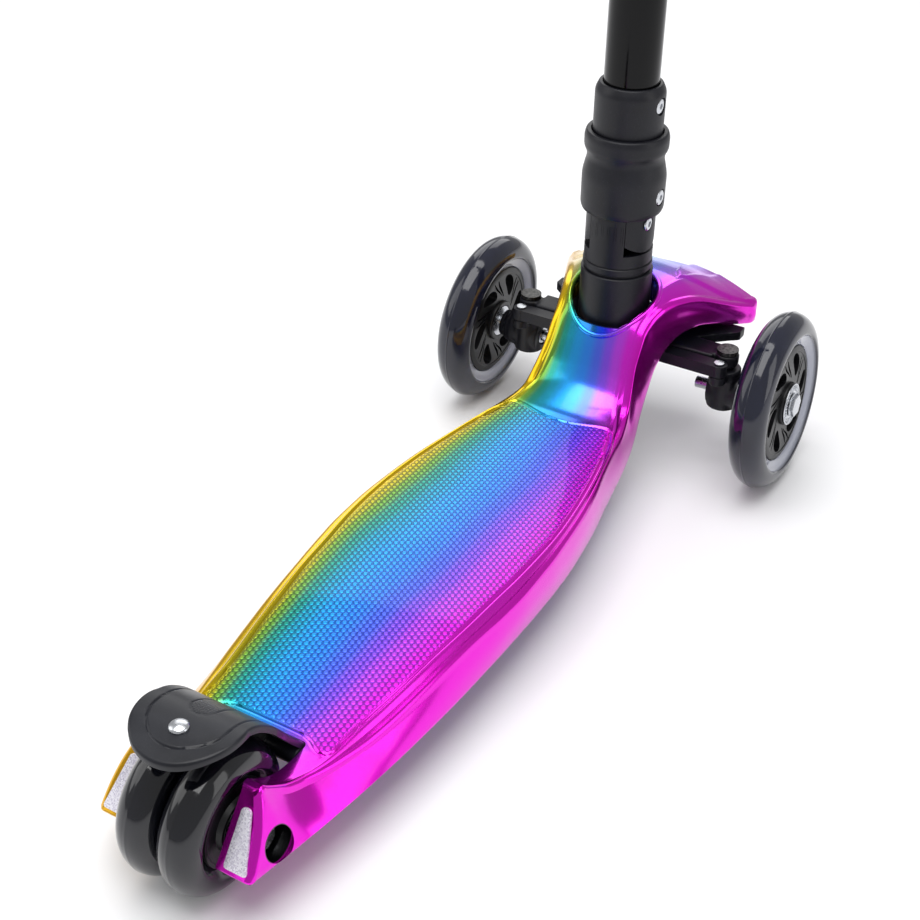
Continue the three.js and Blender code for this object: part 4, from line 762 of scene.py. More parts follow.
def deckSurface(d):
    cuts = [np.arange(-34, 46, 2.0), np.arange(46, 62, 0.7), np.arange(62, 358, 3.2),
        np.arange(358, 374, 0.7), np.arange(374, 400, 1.6), np.arange(400, 525.1, 1.15)]
    places = np.concatenate(cuts)
    sizes = sectionSizes(places)
    points = []
    for x, (foot, footZ, ridge, ridgeZ, pad, padZ, midZ) in zip(places, sizes):
        inner = np.linspace(0, 1, 30)
        half = [(pad * s * 0.975, midZ + (padZ - midZ) * s ** 2) for s in inner]
        for shift in (-0.6, 0.0, 0.6, 1.2):
            half.append((pad + shift, padZ - 0.02))
        bandStart = pad + 2.0
        shoulder = min(5.0, max(ridge - bandStart, 1.0) * 0.6)
        for s in np.linspace(0, 1, 16):
            half.append((bandStart + (ridge - shoulder - bandStart) * s,
                padZ + (ridgeZ - padZ) * s + 0.9 * math.sin(math.pi * s) * 0.5))
        wallTop = (ridge + 0.6, ridgeZ - d["shoulderDrop"])
        for s in np.linspace(0.12, 1, 9):
            a = (ridge - shoulder, ridgeZ)
            b = (ridge + 0.3, ridgeZ - 0.2)
            half.append(tuple(np.array(a) * (1 - s) ** 2 + np.array(b) * 2 * s * (1 - s)
                + np.array(wallTop) * s ** 2))
        footTop = (foot, footZ + 2.2)
        for s in np.linspace(0.1, 1, 11):
            bulge = 0.9 * math.sin(math.pi * s)
            half.append((wallTop[0] + (footTop[0] - wallTop[0]) * s + bulge,
                wallTop[1] + (footTop[1] - wallTop[1]) * s))
        for s in (0.33, 0.66, 1.0):
            half.append((foot - 2.2 * (1 - math.cos(s * math.pi / 2)),
                footZ + 2.2 * (1 - math.sin(s * math.pi / 2))))
        half.append((foot * 0.5, footZ))
        ring = [(-y, z) for y, z in half[::-1]] + half[1:] + [(0, footZ)]
        points.append([(x, y, z) for y, z in ring])
    grid = np.array(points)
    # towards the rear the sections lean back, parallel to the arms' slanted ends; each point takes its
    # place across and its height from where it comes to lie
    slope = d["rearRun"] / d["rearRise"]
    upright = grid.copy()
    for r in np.flatnonzero(places < 58):
        tilt = smoothStep(np.array(-places[r]), -58, 20) * slope
        for k in range(grid.shape[1]):
            height = upright[r, k, 2]
            for _ in range(12):
                at = places[r] + tilt * (height - d["rearFoot"][1])
                height = 0.5 * (height + np.interp(at, places, upright[:, k, 2]))
            at = places[r] + tilt * (height - d["rearFoot"][1])
            grid[r, k] = (at, np.interp(at, places, upright[:, k, 1]), height)
    x, y, z = grid[..., 0], grid[..., 1], grid[..., 2]
    # the pad's edge follows its own outline: the columns by the groove move onto it
    topSide = z > np.interp(x, places, sizes[:, 3] - 6)
    away = insideDistance(x, y, padOutline)
    groove = np.clip(1 - np.abs(away) / d["grooveHalf"], 0, 1)
    inLength = (x > 44) & (x < 378)
    z -= np.where(topSide & inLength, d["grooveDepth"] * smoothStep(groove, 0, 1), 0)
    panel = insideDistance(x, np.abs(y), wingPanel)
    z += np.where(topSide, d["wingPanelRise"] * smoothStep(panel, -0.4, 1.4), 0)
    # the last ones draw in, which rounds the ends of the arms
    start = d["rearFoot"][0]
    count = int((places <= start + 2.0).sum())
    for k in range(count):
        turnAngle = (1 - k / (count - 1)) * math.pi / 2
        inset = d["rearRound"] * (1 - math.cos(turnAngle))
        reach = start + d["rearRound"] * (1 - math.sin(turnAngle))
        source = grid[count].copy()
        shift = reach - places[count]
        source[:, 0] += shift
        half = np.abs(source[:, 1])
        low, high = source[:, 2].min(), source[:, 2].max()
        source[:, 1] = np.sign(source[:, 1]) * (half - inset * smoothStep(half, 0, 30))
        source[:, 2] = np.clip(source[:, 2], low + inset, high - inset)
        grid[k] = source
    rings, around = grid.shape[:2]
    faces = bandFaces(rings, around)
    faces += [tuple(range(around)), tuple(range((rings - 1) * around, rings * around))]
    return grid.reshape(-1, 3), faces


def loftCutter(name, rings):
    count = len(rings[0])
    points = [p for ring in rings for p in ring]
    faces = [tuple(range(count)), tuple(range(len(points) - count, len(points)))]
    return newPiece(name, points, faces + bandFaces(len(rings), count), "plated")


def deckPockets(d):
    start = d["slotFront"] + d["bulkhead"]
    end = d["headCavityStart"] - d["bulkhead"]
    pitch = (end - start + d["rib"]) / d["pocketCount"]
    cutters = []
    for k in range(d["pocketCount"]):
        low = start + k * pitch
        for side in (1, -1):
            rings = []
            for x in np.linspace(low, low + pitch - d["rib"], 7):
                foot, footZ, ridge, ridgeZ, pad, padZ, midZ = sectionSizes(x)[0]
                ring = [(d["rib"] / 2, footZ - 8), (foot - d["wall"], footZ - 8), (foot - d["wall"], footZ),
                    (ridge - d["wall"], ridgeZ - d["shoulderDrop"] - d["wall"]),
                    (pad - d["wall"], padZ - d["skin"] - 1), (d["rib"] / 2, padZ - d["skin"] - 1)]
                rings.append([(x, side * y, z) for y, z in ring])
            cutters.append(loftCutter("pocket", rings))
    return cutters


def headCavity(d):
    end = d["wheelbase"] + d["headReach"] - d["notchDepth"] - 2 * d["wall"]
    rings = []
    for x in np.linspace(d["headCavityStart"], end, 22):
        foot, footZ, ridge, ridgeZ, pad, padZ, midZ = sectionSizes(x)[0]
        wall = min(foot, ridge) - d["wall"]
        half = [(wall, footZ - 8), (wall, ridgeZ - d["shoulderDrop"] - d["skin"]),
            (wall - d["wall"], ridgeZ - d["skin"]), (pad, padZ - d["skin"] - 1.2)]
        ring = [(0, footZ - 8)] + half + [(0, midZ - d["skin"] - 1.2)] + [(-y, z) for y, z in half[::-1]]
        rings.append([(x, y, z) for y, z in ring])
    return loftCutter("headCavity", rings)


def frontTrim(d):
    reach = d["wheelbase"] + d["headReach"]
    tip = sectionSizes(reach)[0][0]
    corner = roundCorners([(reach, 60), (reach, tip + 0.3), (480, tip + 0.3)], [0, d["tipRound"], 0], 8,
        closed=False)
    notch = []
    for s in np.linspace(0, 1, 25):
        y = d["notchHalf"] * (1 - s)
        notch.append((reach - d["notchDepth"] * smoothStep(np.array([s]), 0, 1)[0], y))
    half = [(p[0], p[1]) for p in notch[::-1]] + corner[:-1]
    outline = [(560, -90), (560, 90), (reach - d["tipRound"], 90)] + half[::-1]
    outline += [(x, -y) for x, y in half[1:]] + [(reach - d["tipRound"], -90)]
    return prism("frontTrim", outline, "xy", -10, 160, "plated")


columnX = 441.0
columnRadius = 23.4


def holeOutline(d, extra, steps=96):
    a = columnRadius + d["holePlayAlong"] + extra
    b = columnRadius + d["holePlayAcross"] + extra
    return [(columnX + a * math.cos(2 * math.pi * k / steps), b * math.sin(2 * math.pi * k / steps))
            for k in range(steps)]


# The bright rounded edge of the column's hole: a bead that follows the surface round the hole
def holeBead(d):
    path = holeOutline(d, d["holeLip"] * 0.55)
    points = []
    sides = 10
    heights = []
    for x, y in path:
        ridge, ridgeZ, pad, padZ, midZ = sectionSizes(x)[0][2:]
        s = min(abs(y) / pad, 1.0)
        z = midZ + (padZ - midZ) * s ** 2
        if abs(y) > pad:
            z = padZ + (ridgeZ - padZ) * min((abs(y) - pad) / (ridge - pad), 1.0)
        heights.append(z)
    for k, (x, y) in enumerate(path):
        out = Vector((x - columnX, y, 0)).normalized()
        for s in range(sides):
            angle = 2 * math.pi * s / sides
            p = Vector((x, y, heights[k] - 0.75)) + out * d["holeLip"] * math.cos(angle)
            points.append((p.x, p.y, p.z + d["holeLip"] * math.sin(angle)))
    faces = bandFaces(len(path), sides, closedRings=True)
    # and the short wall below it that lines the hole
    start = len(points)
    for k, (x, y) in enumerate(holeOutline(d, 0)):
        out = Vector((x - columnX, y, 0)).normalized() * d["liningWall"]
        top = heights[k] - 0.6
        points += [(x, y, top), (x + out.x, y + out.y, top), (x + out.x, y + out.y, d["liningFoot"]),
            (x, y, d["liningFoot"])]
    faces += bandFaces(len(path), 4, closedRings=True, start=start)
    return newPiece("holeBead", points, faces, "plated")


# Colour place from the right edge to the left edge, and the studded field, stored on the points
def writeDeckFields(obj):
    x, y, z = pointPlaces(obj.data)
    sizes = sectionSizes(x)
    ridge, ridgeZ = sizes[:, 2], sizes[:, 3]
    side = y / np.maximum(ridge, 1)
    wallShare = smoothStep(ridgeZ - z, 1.0, 9.0)
    side = np.sign(side) * np.where(np.abs(side) > 0.55, np.minimum(np.abs(side) + wallShare * 0.5, 1.0),
        np.abs(side))
    head = smoothStep(x, 440, 500)
    side = side - 0.18 * head * (1 - np.abs(side)) * np.sign(-side)
    across = np.clip(0.5 + 0.5 * side, 0, 1)
    inside = insideDistance(x, y, padOutline)
    pad = smoothStep(inside, 1.6, 2.6) * (z > ridgeZ - 6)
    storeField(obj.data, "across", across)
    storeField(obj.data, "pad", pad)


def makeDeck(d):
    points, faces = deckSurface(d)
    shell = newPiece("deckSkin", [tuple(p) for p in points], faces, "plated")
    far = d["headHeight"] + 20
    slotOutline = roundCorners([(-70, -d["slotHalf"]), (d["slotFront"], -d["slotHalf"]),
        (d["slotFront"], d["slotHalf"]), (-70, d["slotHalf"])], [0, 3, 3, 0])
    slot = prism("slot", slotOutline, "xy", -8, far, "plated")
    hole = prism("hole", holeOutline(d, 0), "xy", 95, far, "plated")
    cutters = [slot, frontTrim(d), hole, headCavity(d)] + deckPockets(d)
    for side in (-1, 1):
        for name, radius, (x, z), near, far, segments in (
                ("access", 9, (0, rearAxleHeight), 34, 80, 64),
                ("shaft", 4.3, (0, rearAxleHeight), 20, 60, 32),
                ("pinHole", 2.7, brakeHinge, 20, 33.3, 24)):
            cutters.append(rod(name, radius, (x, side * near, z), (x, side * far, z), "plated", segments))
    carve(shell, cutters, angle=38)
    bosses = [rod("boss", 7, (0, side * 24.4, rearAxleHeight), (0, side * 27, rearAxleHeight), "plated",
        edge=0.5)
        for side in (-1, 1)]
    merge(shell, holeBead(d), *bosses)
    writeDeckFields(shell)
    smooth(shell, 38)
    return place(shell, "deck", "plated_shell", "deck_shell")


makeDeck(deck)
print("deck made")


# Reflectors on the slanted ends of the rear arms

reflectorPlate = {
    "corners": [(0.08, 43.2), (0.08, 29.8), (0.84, 30.8), (0.84, 35.7)],  # share up the slope, half width
    "gap": 0.3, "thickness": 1.5, "cornerRound": 2.2,
}


def makeReflectors(r):
    run, rise = deck["rearRun"], deck["rearRise"]
    length = math.hypot(run, rise)
    along = Vector((run / length, 0, rise / length))
    out = Vector((-along.z, 0, along.x))
    base = Vector((deck["rearFoot"][0], 0, deck["rearFoot"][1]))
    outline = roundCorners([(up * length, -half) for up, half in r["corners"]], r["cornerRound"], 5)
    count = len(outline)
    points = []
    face = r["gap"] + r["thickness"]
    insets = [(r["gap"], 0.0), (face - 0.4, 0.0), (face - 0.1, 0.15), (face, 0.45)]
    middle = Vector((sum(p[0] for p in outline) / count, sum(p[1] for p in outline) / count))
    for depth, inset in insets:
        for p in outline:
            flat = Vector(p) + (middle - Vector(p)).normalized() * inset
            points.append(tuple(base + along * flat.x + Vector((0, flat.y, 0)) + out * depth))
    faces = [tuple(range(count)), tuple(range(3 * count, 4 * count))] + bandFaces(4, count)
    placePair(newPiece("rightReflectorPlate", points, faces, "reflector"), "ReflectorPlate", "deck",
        "reflector", "SIDE_reflector")


makeReflectors(reflectorPlate)


# Front wheels, built about the wheel's middle with the axle along y, outside towards -y

frontWheel = {
    "radius": 60.0, "half": 12.2, "camber": 3.0, "x": 468.0, "y": -109.5, "lipInner": 39.3, "lipOuter": 46.2,
    "hub": 14.6, "hubHalf": 10.6, "spokes": 6, "webHalf": 8.2, "rimInner": 35.4, "rimHalf": 8.8,
}
axleHeight = (frontWheel["radius"] - frontWheel["half"]) * math.cos(math.radians(frontWheel["camber"])) \
    + frontWheel["half"]
wheelTurn = (Matrix.Translation(rowPoint(frontWheel["x"], frontWheel["y"], axleHeight))
    @ Matrix.Rotation(math.radians(-frontWheel["camber"]), 4, "X") @ Matrix.Translation(-rowPoint(0, 0, 0)))


def toWheel(piece):
    piece.data.transform(wheelTurn)
    return piece


# Marks the points between two radii of a turned piece, for a band that the tyre material paints lighter:
# painted light, standing in for the light that shines through and glints in the thin clear lip
def markBand(piece, name, low, high):
    x, y, z = pointPlaces(piece.data)
    radius = np.hypot(x, z)
    values = (1 - smoothStep(radius, high - 0.4, high + 0.4)) * smoothStep(radius, low - 0.4, low + 0.4)
    storeField(piece.data, name, values)


# A tyre's profile: from the lip over the crown to the middle, then its mirror image
def crowned(lip, middle, tall, wide, steps, ridge):
    half = list(lip)
    for k in range(steps):
        angle = math.pi / 2 * (1 - k / steps)
        half.append((middle + tall * math.cos(angle), wide * math.sin(angle)))
    half += ridge
    return half + [(r, -a) for r, a in half[::-1]]


def tyreProfile(w):
    crown = w["half"]
    half = [(w["lipInner"], 7.4), (w["lipInner"] + 0.8, 8.2), (44.8, 9.5), (w["lipOuter"] - 0.3, 9.9),
        (w["lipOuter"], 10.5), (w["lipOuter"] + 0.5, 11.6)]
    return crowned(half, w["radius"] - 0.3 - crown, crown, crown, 22,
        [(w["radius"] - 0.32, 0.55), (w["radius"] - 0.04, 0.28)])


def hexagon(size, x=0.0, z=0.0):
    return [(size * math.cos(math.pi / 3 * k) + x, size * math.sin(math.pi / 3 * k) + z) for k in range(6)]


def spokeHole(turnAngle):
    points = []
    for k in range(28):
        t = 2 * math.pi * k / 28
        radius = 26.6 + 7.4 * math.sin(t)
        angle = turnAngle + (0.25 + 0.035 * math.sin(t)) * math.cos(t) + 0.20 * math.sin(t)
        points.append((radius * math.cos(angle), radius * math.sin(angle)))
    return prism("bean", points, "xz", -20, 20, "core")


def spokeSlit(turnAngle, shift, inner, outer, width):
    left, right = [], []
    for k in range(9):
        s = k / 8
        radius = inner + (outer - inner) * s
        angle = turnAngle + shift + 0.42 * (s - 0.5) + 0.10 * math.sin(math.pi * s)
        spread = width * (0.45 + 0.55 * math.sin(math.pi * min(max(s, 0.06), 0.94))) / (2 * radius)
        left.append((radius * math.cos(angle - spread), radius * math.sin(angle - spread)))
        right.append((radius * math.cos(angle + spread), radius * math.sin(angle + spread)))
    return prism("slit", left + right[::-1], "xz", -20, 20, "core")


def makeFrontWheels(w):
    tyre = turn("rightFrontTyre", tyreProfile(w), "frontTyre", axis=axisAcross, segments=144, angle=50)
    markBand(tyre, "lip", w["lipInner"] - 2, w["lipOuter"] + 0.2)
    placePair(toWheel(tyre), "FrontTyre", "SIDE_front_wheel", "smoke_urethane", "SIDE_front_tyre")

    outer = w["lipInner"] - 0.2
    rimProfile = [(w["rimInner"] - 0.6, -w["rimHalf"]), (outer, -w["rimHalf"] + 0.8),
        (outer, w["rimHalf"] - 0.8), (w["rimInner"] - 0.6, w["rimHalf"])]
    rim = turn("rim", roundCorners(rimProfile, 0.7, 3), "core", axis=axisAcross, segments=96)
    web = turn("web", [(12, -w["webHalf"]), (36.5, -w["webHalf"]), (36.5, w["webHalf"]), (12, w["webHalf"])],
        "core", axis=axisAcross, segments=96)
    cutters = []
    for k in range(w["spokes"]):
        base = 2 * math.pi * k / w["spokes"]
        cutters.append(spokeHole(base))
        cutters.append(spokeSlit(base, 0.44, 17.5, 33.2, 2.3))
        cutters.append(spokeSlit(base, 0.60, 18.5, 33.6, 1.9))
    carve(web, cutters, angle=30)
    hubProfile = roundCorners([(11.3, -w["hubHalf"]), (w["hub"] - 0.6, -w["hubHalf"]),
        (w["hub"], -w["hubHalf"] + 1), (w["hub"], w["hubHalf"] - 1), (w["hub"] - 0.6, w["hubHalf"]),
        (11.3, w["hubHalf"]), (11.3, 3.6), (7.2, 3.2), (7.2, -3.2), (11.3, -3.6)], 0.5, 2)
    hub = turn("hub", hubProfile, "core", axis=axisAcross, segments=80)
    core = merge(web, rim, hub)
    smooth(core, 30)
    placePair(toWheel(core), "FrontWheelCore", "SIDE_front_wheel", "wheel_core", "SIDE_front_wheel_core")

    washer = turn("washer", roundCorners([(4.3, -11.8), (9.4, -11.8), (9.6, -11.5), (13.0, -11.5),
        (13.2, -11.9), (13.9, -11.9), (14.1, -11.6), (14.1, -11.1), (4.3, -11.1)], 0.15, 2), "zinc",
        axis=axisAcross, segments=96)
    tooth = box("tooth", (9.6, -12.0, -0.42), (12.9, -11.4, 0.42), "zinc", 0.2)
    repeated(tooth, ringTree, 30, math.pi / 15, (0, 0, 0), axisAcross, "zinc")
    merge(washer, tooth)
    smooth(washer, 32)
    placePair(toWheel(washer), "FrontWasher", "SIDE_steering", "zinc_steel", "SIDE_front_washer")
    head = prism("head", hexagon(7.9), "xz", -15.5, -12.5, "zinc", edge=0.7, steps=4)
    dome = turn("dome", [(0, -15.8), (2.6, -15.76), (4.6, -15.64), (6.0, -15.4), (6.6, -15.1), (6.6, -14.6),
        (0, -14.6)], "zinc", axis=axisAcross, segments=48, closed=False)
    flange = turn("flange", [(0, -13.3), (7.4, -13.3), (8.1, -12.9), (8.1, -12.45), (0, -12.45)], "zinc",
        axis=axisAcross, segments=64, closed=False)
    shank = rod("shank", 4.0, (0, -14.5, 0), (0, 55.8, 0), "zinc", 40, 0.5)
    bolt = merge(head, dome, flange, shank)
    smooth(bolt, 30)
    placePair(toWheel(bolt), "FrontAxleBolt", "SIDE_steering", "zinc_steel", "SIDE_front_axle_bolt")


makeFrontWheels(frontWheel)
print("front wheels made")


# Rear wheels

rearWheel = {"radius": 40.0, "half": 11.8, "crownMiddle": 28.6, "y": -12.3, "height": rearAxleHeight}


def makeRearWheels(w):
    lip = [(23.2, 7.4), (24.6, 8.2), (26.0, 9.8), (27.2, 11.1)]
    profile = crowned(lip, w["crownMiddle"], w["radius"] - 0.15 - w["crownMiddle"], w["half"], 20,
        [(w["radius"] - 0.02, 0.25)])
    tyre = turn("rightRearTyre", profile, "rearTyre", axis=axisAcross, segments=128, angle=50)
    markBand(tyre, "lip", 0, 0.5)
    shift = Matrix.Translation(Vector((0, w["y"], w["height"])) * mm)
    tyre.data.transform(shift)
    placePair(tyre, "RearTyre", "SIDE_rear_wheel", "smoke_urethane", "SIDE_rear_tyre")
    steppedCore = roundCorners([
        (8.2, -4.0), (11.3, -4.2), (11.3, -11.4), (13.6, -11.4), (14.6, -8.6), (20.6, -8.6), (21.4, -9.3),
        (23.1, -9.3),
        (23.1, 9.0), (21.6, 9.0), (21.4, 9.8), (19.6, 9.8), (19.4, 9.1), (17.8, 9.1), (17.6, 10.4),
        (15.6, 10.4), (15.4, 9.6), (14.0, 9.6), (13.8, 11.1), (8.2, 11.1)], 0.25, 2)
    core = turn("rightRearWheelCore", steppedCore, "core", axis=axisAcross, segments=96)
    core.data.transform(shift)
    placePair(core, "RearWheelCore", "SIDE_rear_wheel", "wheel_core", "SIDE_rear_wheel_core")


makeRearWheels(rearWheel)
print("rear wheels made")


# Rear brake: a thin S shaped plate with a rolled edge, a ring groove and a dotted tongue

brake = {
    "lobe": 28.5, "half": 27.0, "thickness": 3.6, "top": 97.5, "reach": 51.3,
    "curve": [(-1.00, 0.964), (-0.62, 0.993), (-0.25, 1.000), (0.20, 0.992), (0.56, 0.947), (0.90, 0.862),
              (1.20, 0.755), (1.45, 0.656), (1.66, 0.580), (1.78, 0.536), (1.84, 0.51)],
    "grooveInset": 6.2, "grooveDepth": 0.55, "tongueHalf": 7.2, "tongueStart": 4.0,
    "hinge": brakeHinge, "barrel": 5.0, "padLow": (-18, -12, 87.4), "padHigh": (2, 12, 92.4), "rivetX": -8,
}


def brakeOutline(b):
    lobe = []
    start = math.acos(0.3)
    for k in range(97):
        angle = start + (2 * math.pi - 2 * start) * k / 96
        lobe.append((b["lobe"] * math.cos(angle), b["lobe"] * math.sin(angle)))
    upper = [(b["reach"], y) for y in np.arange(0, 24.6, 0.9)]
    shoulder = curveThrough([(b["reach"], 24.4), (b["reach"] - 1, 25.2), (38, 25.5), (33, 26.4),
        (28.5, 27.0)], 6)
    flank = [(x, 27.0 + 0.19 * smoothStep(np.array([28.5 - x]), 0, 20)[0])
        for x in np.arange(27.6, 9.0, -0.9)]
    return upper + [tuple(p) for p in shoulder] + flank + lobe + [(x, -y) for x, y in flank[::-1]] \
        + [(p[0], -p[1]) for p in shoulder[::-1]] + [(x, -y) for x, y in upper[:0:-1]]


def makeBrake(b):
    curve = np.array(curveThrough([(x * b["lobe"], z * b["top"]) for x, z in b["curve"]], 12))
    outline = np.array(brakeOutline(b))
    spine = np.stack([np.clip(outline[:, 0], 0, b["reach"] - 9), np.zeros(len(outline))], axis=1)
    shares = [0, 0.004, 0.012, 0.026, 0.045] + list(np.linspace(0.065, 0.985, 52))
    top = []
    for share in shares:
        flat = outline + (spine - outline) * share
        away = share * b["lobe"]
        z = np.interp(flat[:, 0], curve[:, 0], curve[:, 1])
        edge = 1.5 * (1 - math.sqrt(max(0.0, 1 - (1 - min(away / 1.5, 1)) ** 2)))
        z = z - edge
        notFront = smoothStep(b["reach"] - 7 - flat[:, 0], -3, 3)
        groove = 1 - smoothStep(np.abs(np.hypot(np.minimum(flat[:, 0], 0), flat[:, 1])
            - (b["half"] - b["grooveInset"]) + 1.2 * smoothStep(-flat[:, 0], 0, 20)), 0.1, 0.8)
        z = z - b["grooveDepth"] * groove * notFront
        rear = np.maximum(b["tongueStart"] + b["tongueHalf"] - flat[:, 0], 0)
        tongue = np.hypot(rear, flat[:, 1]) - b["tongueHalf"]
        z = z - b["grooveDepth"] * 0.8 * (1 - smoothStep(np.abs(tongue), 0.1, 0.75)) * notFront
        top.append(np.column_stack([flat, z]))
    centre = np.column_stack([spine, np.interp(spine[:, 0], curve[:, 0], curve[:, 1])])
    top.append(centre)
    slopeX = np.gradient(curve[:, 1], curve[:, 0])
    under = []
    for ring in top[::8]:
        base = np.interp(ring[:, 0], curve[:, 0], curve[:, 1])
        tilt = np.interp(ring[:, 0], curve[:, 0], slopeX)
        drop = b["thickness"] * np.minimum(np.sqrt(1 + tilt ** 2), 1.6)
        under.append(np.column_stack([ring[:, 0], ring[:, 1], base - drop]))
    edgeRing = under[0].copy()
    edgeRing[:, 2] += 1.0
    rings = top[::-1] + [edgeRing] + under
    count = len(outline)
    points = [tuple(p) for ring in rings for p in ring]
    plate = newPiece("brakeFender", points, bandFaces(len(rings), count), "fender", 40)
    weld(plate, 2e-6)
    x, z = b["hinge"]
    barrels = [rod("barrel", b["barrel"], (x, s * 6.3, z), (x, s * 25.4, z), "fender", edge=0.6)
        for s in (-1, 1)]
    merge(plate, *barrels)
    px, py, pz = pointPlaces(plate.data)
    rear = np.maximum(b["tongueStart"] + b["tongueHalf"] - px, 0)
    tongue = np.hypot(rear, py) - b["tongueHalf"]
    storeField(plate.data, "dots", smoothStep(-tongue, 0.9, 1.6) * smoothStep(b["reach"] - 12 - px, 0, 3))
    smooth(plate, 40)
    place(plate, "brake", "black_nylon", "brake_fender")
    dome = [(0, 89.4), (2.2, 89.4), (2.2, 97.4), (5.0, 97.4), (5.0, 98.1)]
    for k in range(1, 9):
        angle = math.pi / 2 * k / 8
        dome.append((5.0 * math.cos(angle), 98.1 + 2.0 * math.sin(angle)))
    dome[-1] = (0, 100.1)
    rivet = turn("brakeRivet", dome, "zinc", (b["rivetX"], 0, 0), segments=64, closed=False)
    place(rivet, "brake", "zinc_steel", "brake_rivet")
    pad = box("brakePad", b["padLow"], b["padHigh"], "spring", 0.6)
    place(pad, "brake", "spring_steel", "brake_pad")


makeBrake(brake)
print("brake made")


# Steering knuckles and the black housing under the head

steering = {
    "kingpin": (465.0, -74.0), "barrel": 10.5, "barrelLow": 47.1, "barrelHigh": 76.4, "neck": 6.0,
    "eyeLow": 78.0, "arm": 14.0, "tieEye": 5.5, "voxel": 0.75,
}


def makeKnuckles(s):
    kx, ky = s["kingpin"]
    barrel = rod("barrel", s["barrel"], (kx, ky, s["barrelLow"]), (kx, ky, s["barrelHigh"]), "nylon",
        edge=1.2)
    neck = rod("neck", s["neck"], (kx, ky, 74), (kx, ky, s["eyeLow"] - 0.4), "nylon")
    arm = box("arm", (kx - s["arm"], ky - 5.2, 70.2), (kx, ky + 5.2, 76.3), "nylon", 0.8)
    eye = rod("eye", s["tieEye"], (kx - s["arm"], ky, 70.2), (kx - s["arm"], ky, 76.3), "nylon", edge=0.6)
    bossProfile = roundCorners([(0, 13.4), (9.4, 13.4), (9.6, 17.6), (11.6, 18.6), (11.6, 21.6), (12.6, 22.6),
        (12.7, 31), (12.7, 44.8), (0, 44.8)], 0.7, 3, closed=False)
    boss = turn("boss", bossProfile, "nylon", axis=axisAcross, segments=64, closed=False)
    toWheel(boss)
    shoulder = box("shoulder", (kx - 9.5, ky - 9, 52), (kx + 9.5, ky + 5, 72), "nylon", 2.5)
    piece = mould("rightKnuckle", [barrel, neck, arm, eye, boss, shoulder], s["voxel"], 4)
    cutters = [rod("kingBore", 4.3, (kx, ky, 66.7), (kx, ky, 100), "nylon", 40),
        rod("tieBore", 2.5, (kx - s["arm"], ky, 60), (kx - s["arm"], ky, 90), "nylon", 24)]
    for radius, start in ((4.3, 0), (6.9, 39.2)):
        cutters.append(toWheel(rod("axleBore", radius, (0, start, 0), (0, 70, 0), "nylon", 40)))
    carve(piece, cutters, angle=45)
    placePair(piece, "SteeringKnuckle", "SIDE_steering", "black_nylon", "SIDE_knuckle")


makeKnuckles(steering)

housing = {"rear": 417.5, "front": 466.0, "half": 21.0, "floor": 56.0, "wall": 7.5, "crown": 8.5,
    "pinHeight": 95.0,
    "voxel": 1.0}


def archOutline(half, low, crown, height):
    outline = [(-half, low), (half, low), (half, height - 2 * crown)]
    outline += [(crown * math.cos(math.pi * k / 12), height + crown * math.sin(math.pi * k / 12))
        for k in range(13)]
    return outline + [(-half, height - 2 * crown)]


def makeHousing(h):
    kx, ky = steering["kingpin"]
    outline = archOutline(h["half"], h["floor"], h["crown"], h["pinHeight"])
    parts = [prism("rearPlate", outline, "yz", h["rear"], h["rear"] + h["wall"], "nylon"),
        prism("frontPlate", outline, "yz", h["front"] - h["wall"] - 1.6, h["front"], "nylon"),
        box("floor", (h["rear"], -h["half"], h["floor"]), (h["front"], h["half"], h["floor"] + 4), "nylon"),
        box("crossbar", (457.2, -66.2, 78.2), (475.3, 66.2, 86.3), "nylon")]
    web = [(-58.8, 70.2), (-37, 64.2), (37, 64.2), (58.8, 70.2), (58.8, 86.2), (-58.8, 86.2)]
    parts.append(prism("web", web, "yz", 466.8, 475.3, "nylon"))
    wing = [(467, -37), (497, -70.4), (505.8, -70.4), (505.8, 70.4), (497, 70.4), (467, 37)]
    parts.append(prism("wingPlate", wing, "xy", 79.6, 86.2, "nylon"))
    for side in (-1, 1):
        parts.append(rod("eye", 7.9, (kx, -side * ky, 78.2), (kx, -side * ky, 86.9), "nylon"))
    piece = mould("frontHousing", parts, h["voxel"], 3)
    cutters = [rod("pinBore", 4.3, (400, 0, h["pinHeight"]), (490, 0, h["pinHeight"]), "nylon", 40)]
    for side in (-1, 1):
        cutters.append(rod("eyeBore", 4.3, (kx, -side * ky, 70), (kx, -side * ky, 100), "nylon", 40))
    carve(piece, cutters, angle=45)
    place(piece, "deck", "black_nylon", "front_axle_housing")


makeHousing(housing)
print("steering made")


# Steering column: ringed barrel, hinge fork, lock collar, sleeve and tube

column = {
    "x": columnX, "radius": columnRadius, "foot": 104.0, "rings": (143.0, 149.0), "foldRadius": 22.1,
    "foldX": 436.0,
    "foldHeight": 178.0, "tongue": 18.6, "tongueHalf": 12.0, "cheek": 19.0, "roomFloor": 157.6,
    "throat": 21.0,
    "forkTop": 219.0, "tubeFoot": 205.0, "pinSeat": 20.6, "screwX": 440, "collarScrew": 195.5,
    "sleeveScrew": 253.5, "collarRadius": 26.6, "sleeveRadius": 21.8, "collarSink": 1.68, "sleeveSink": 2.24,
}


def turnColumn(name, profile, look, closed=True, segments=128, angle=32):
    return turn(name, profile, look, (column["x"], 0, 0), axisUp, segments, closed, angle)


def screwSeat(x, face, height):
    return [rod("seat", 5.5, (x, -face - 25, height), (x, -face, height), "nylon", 48),
            rod("bore", 2.9, (x, -face - 8, height), (x, -face + 7.5, height), "nylon", 32)]


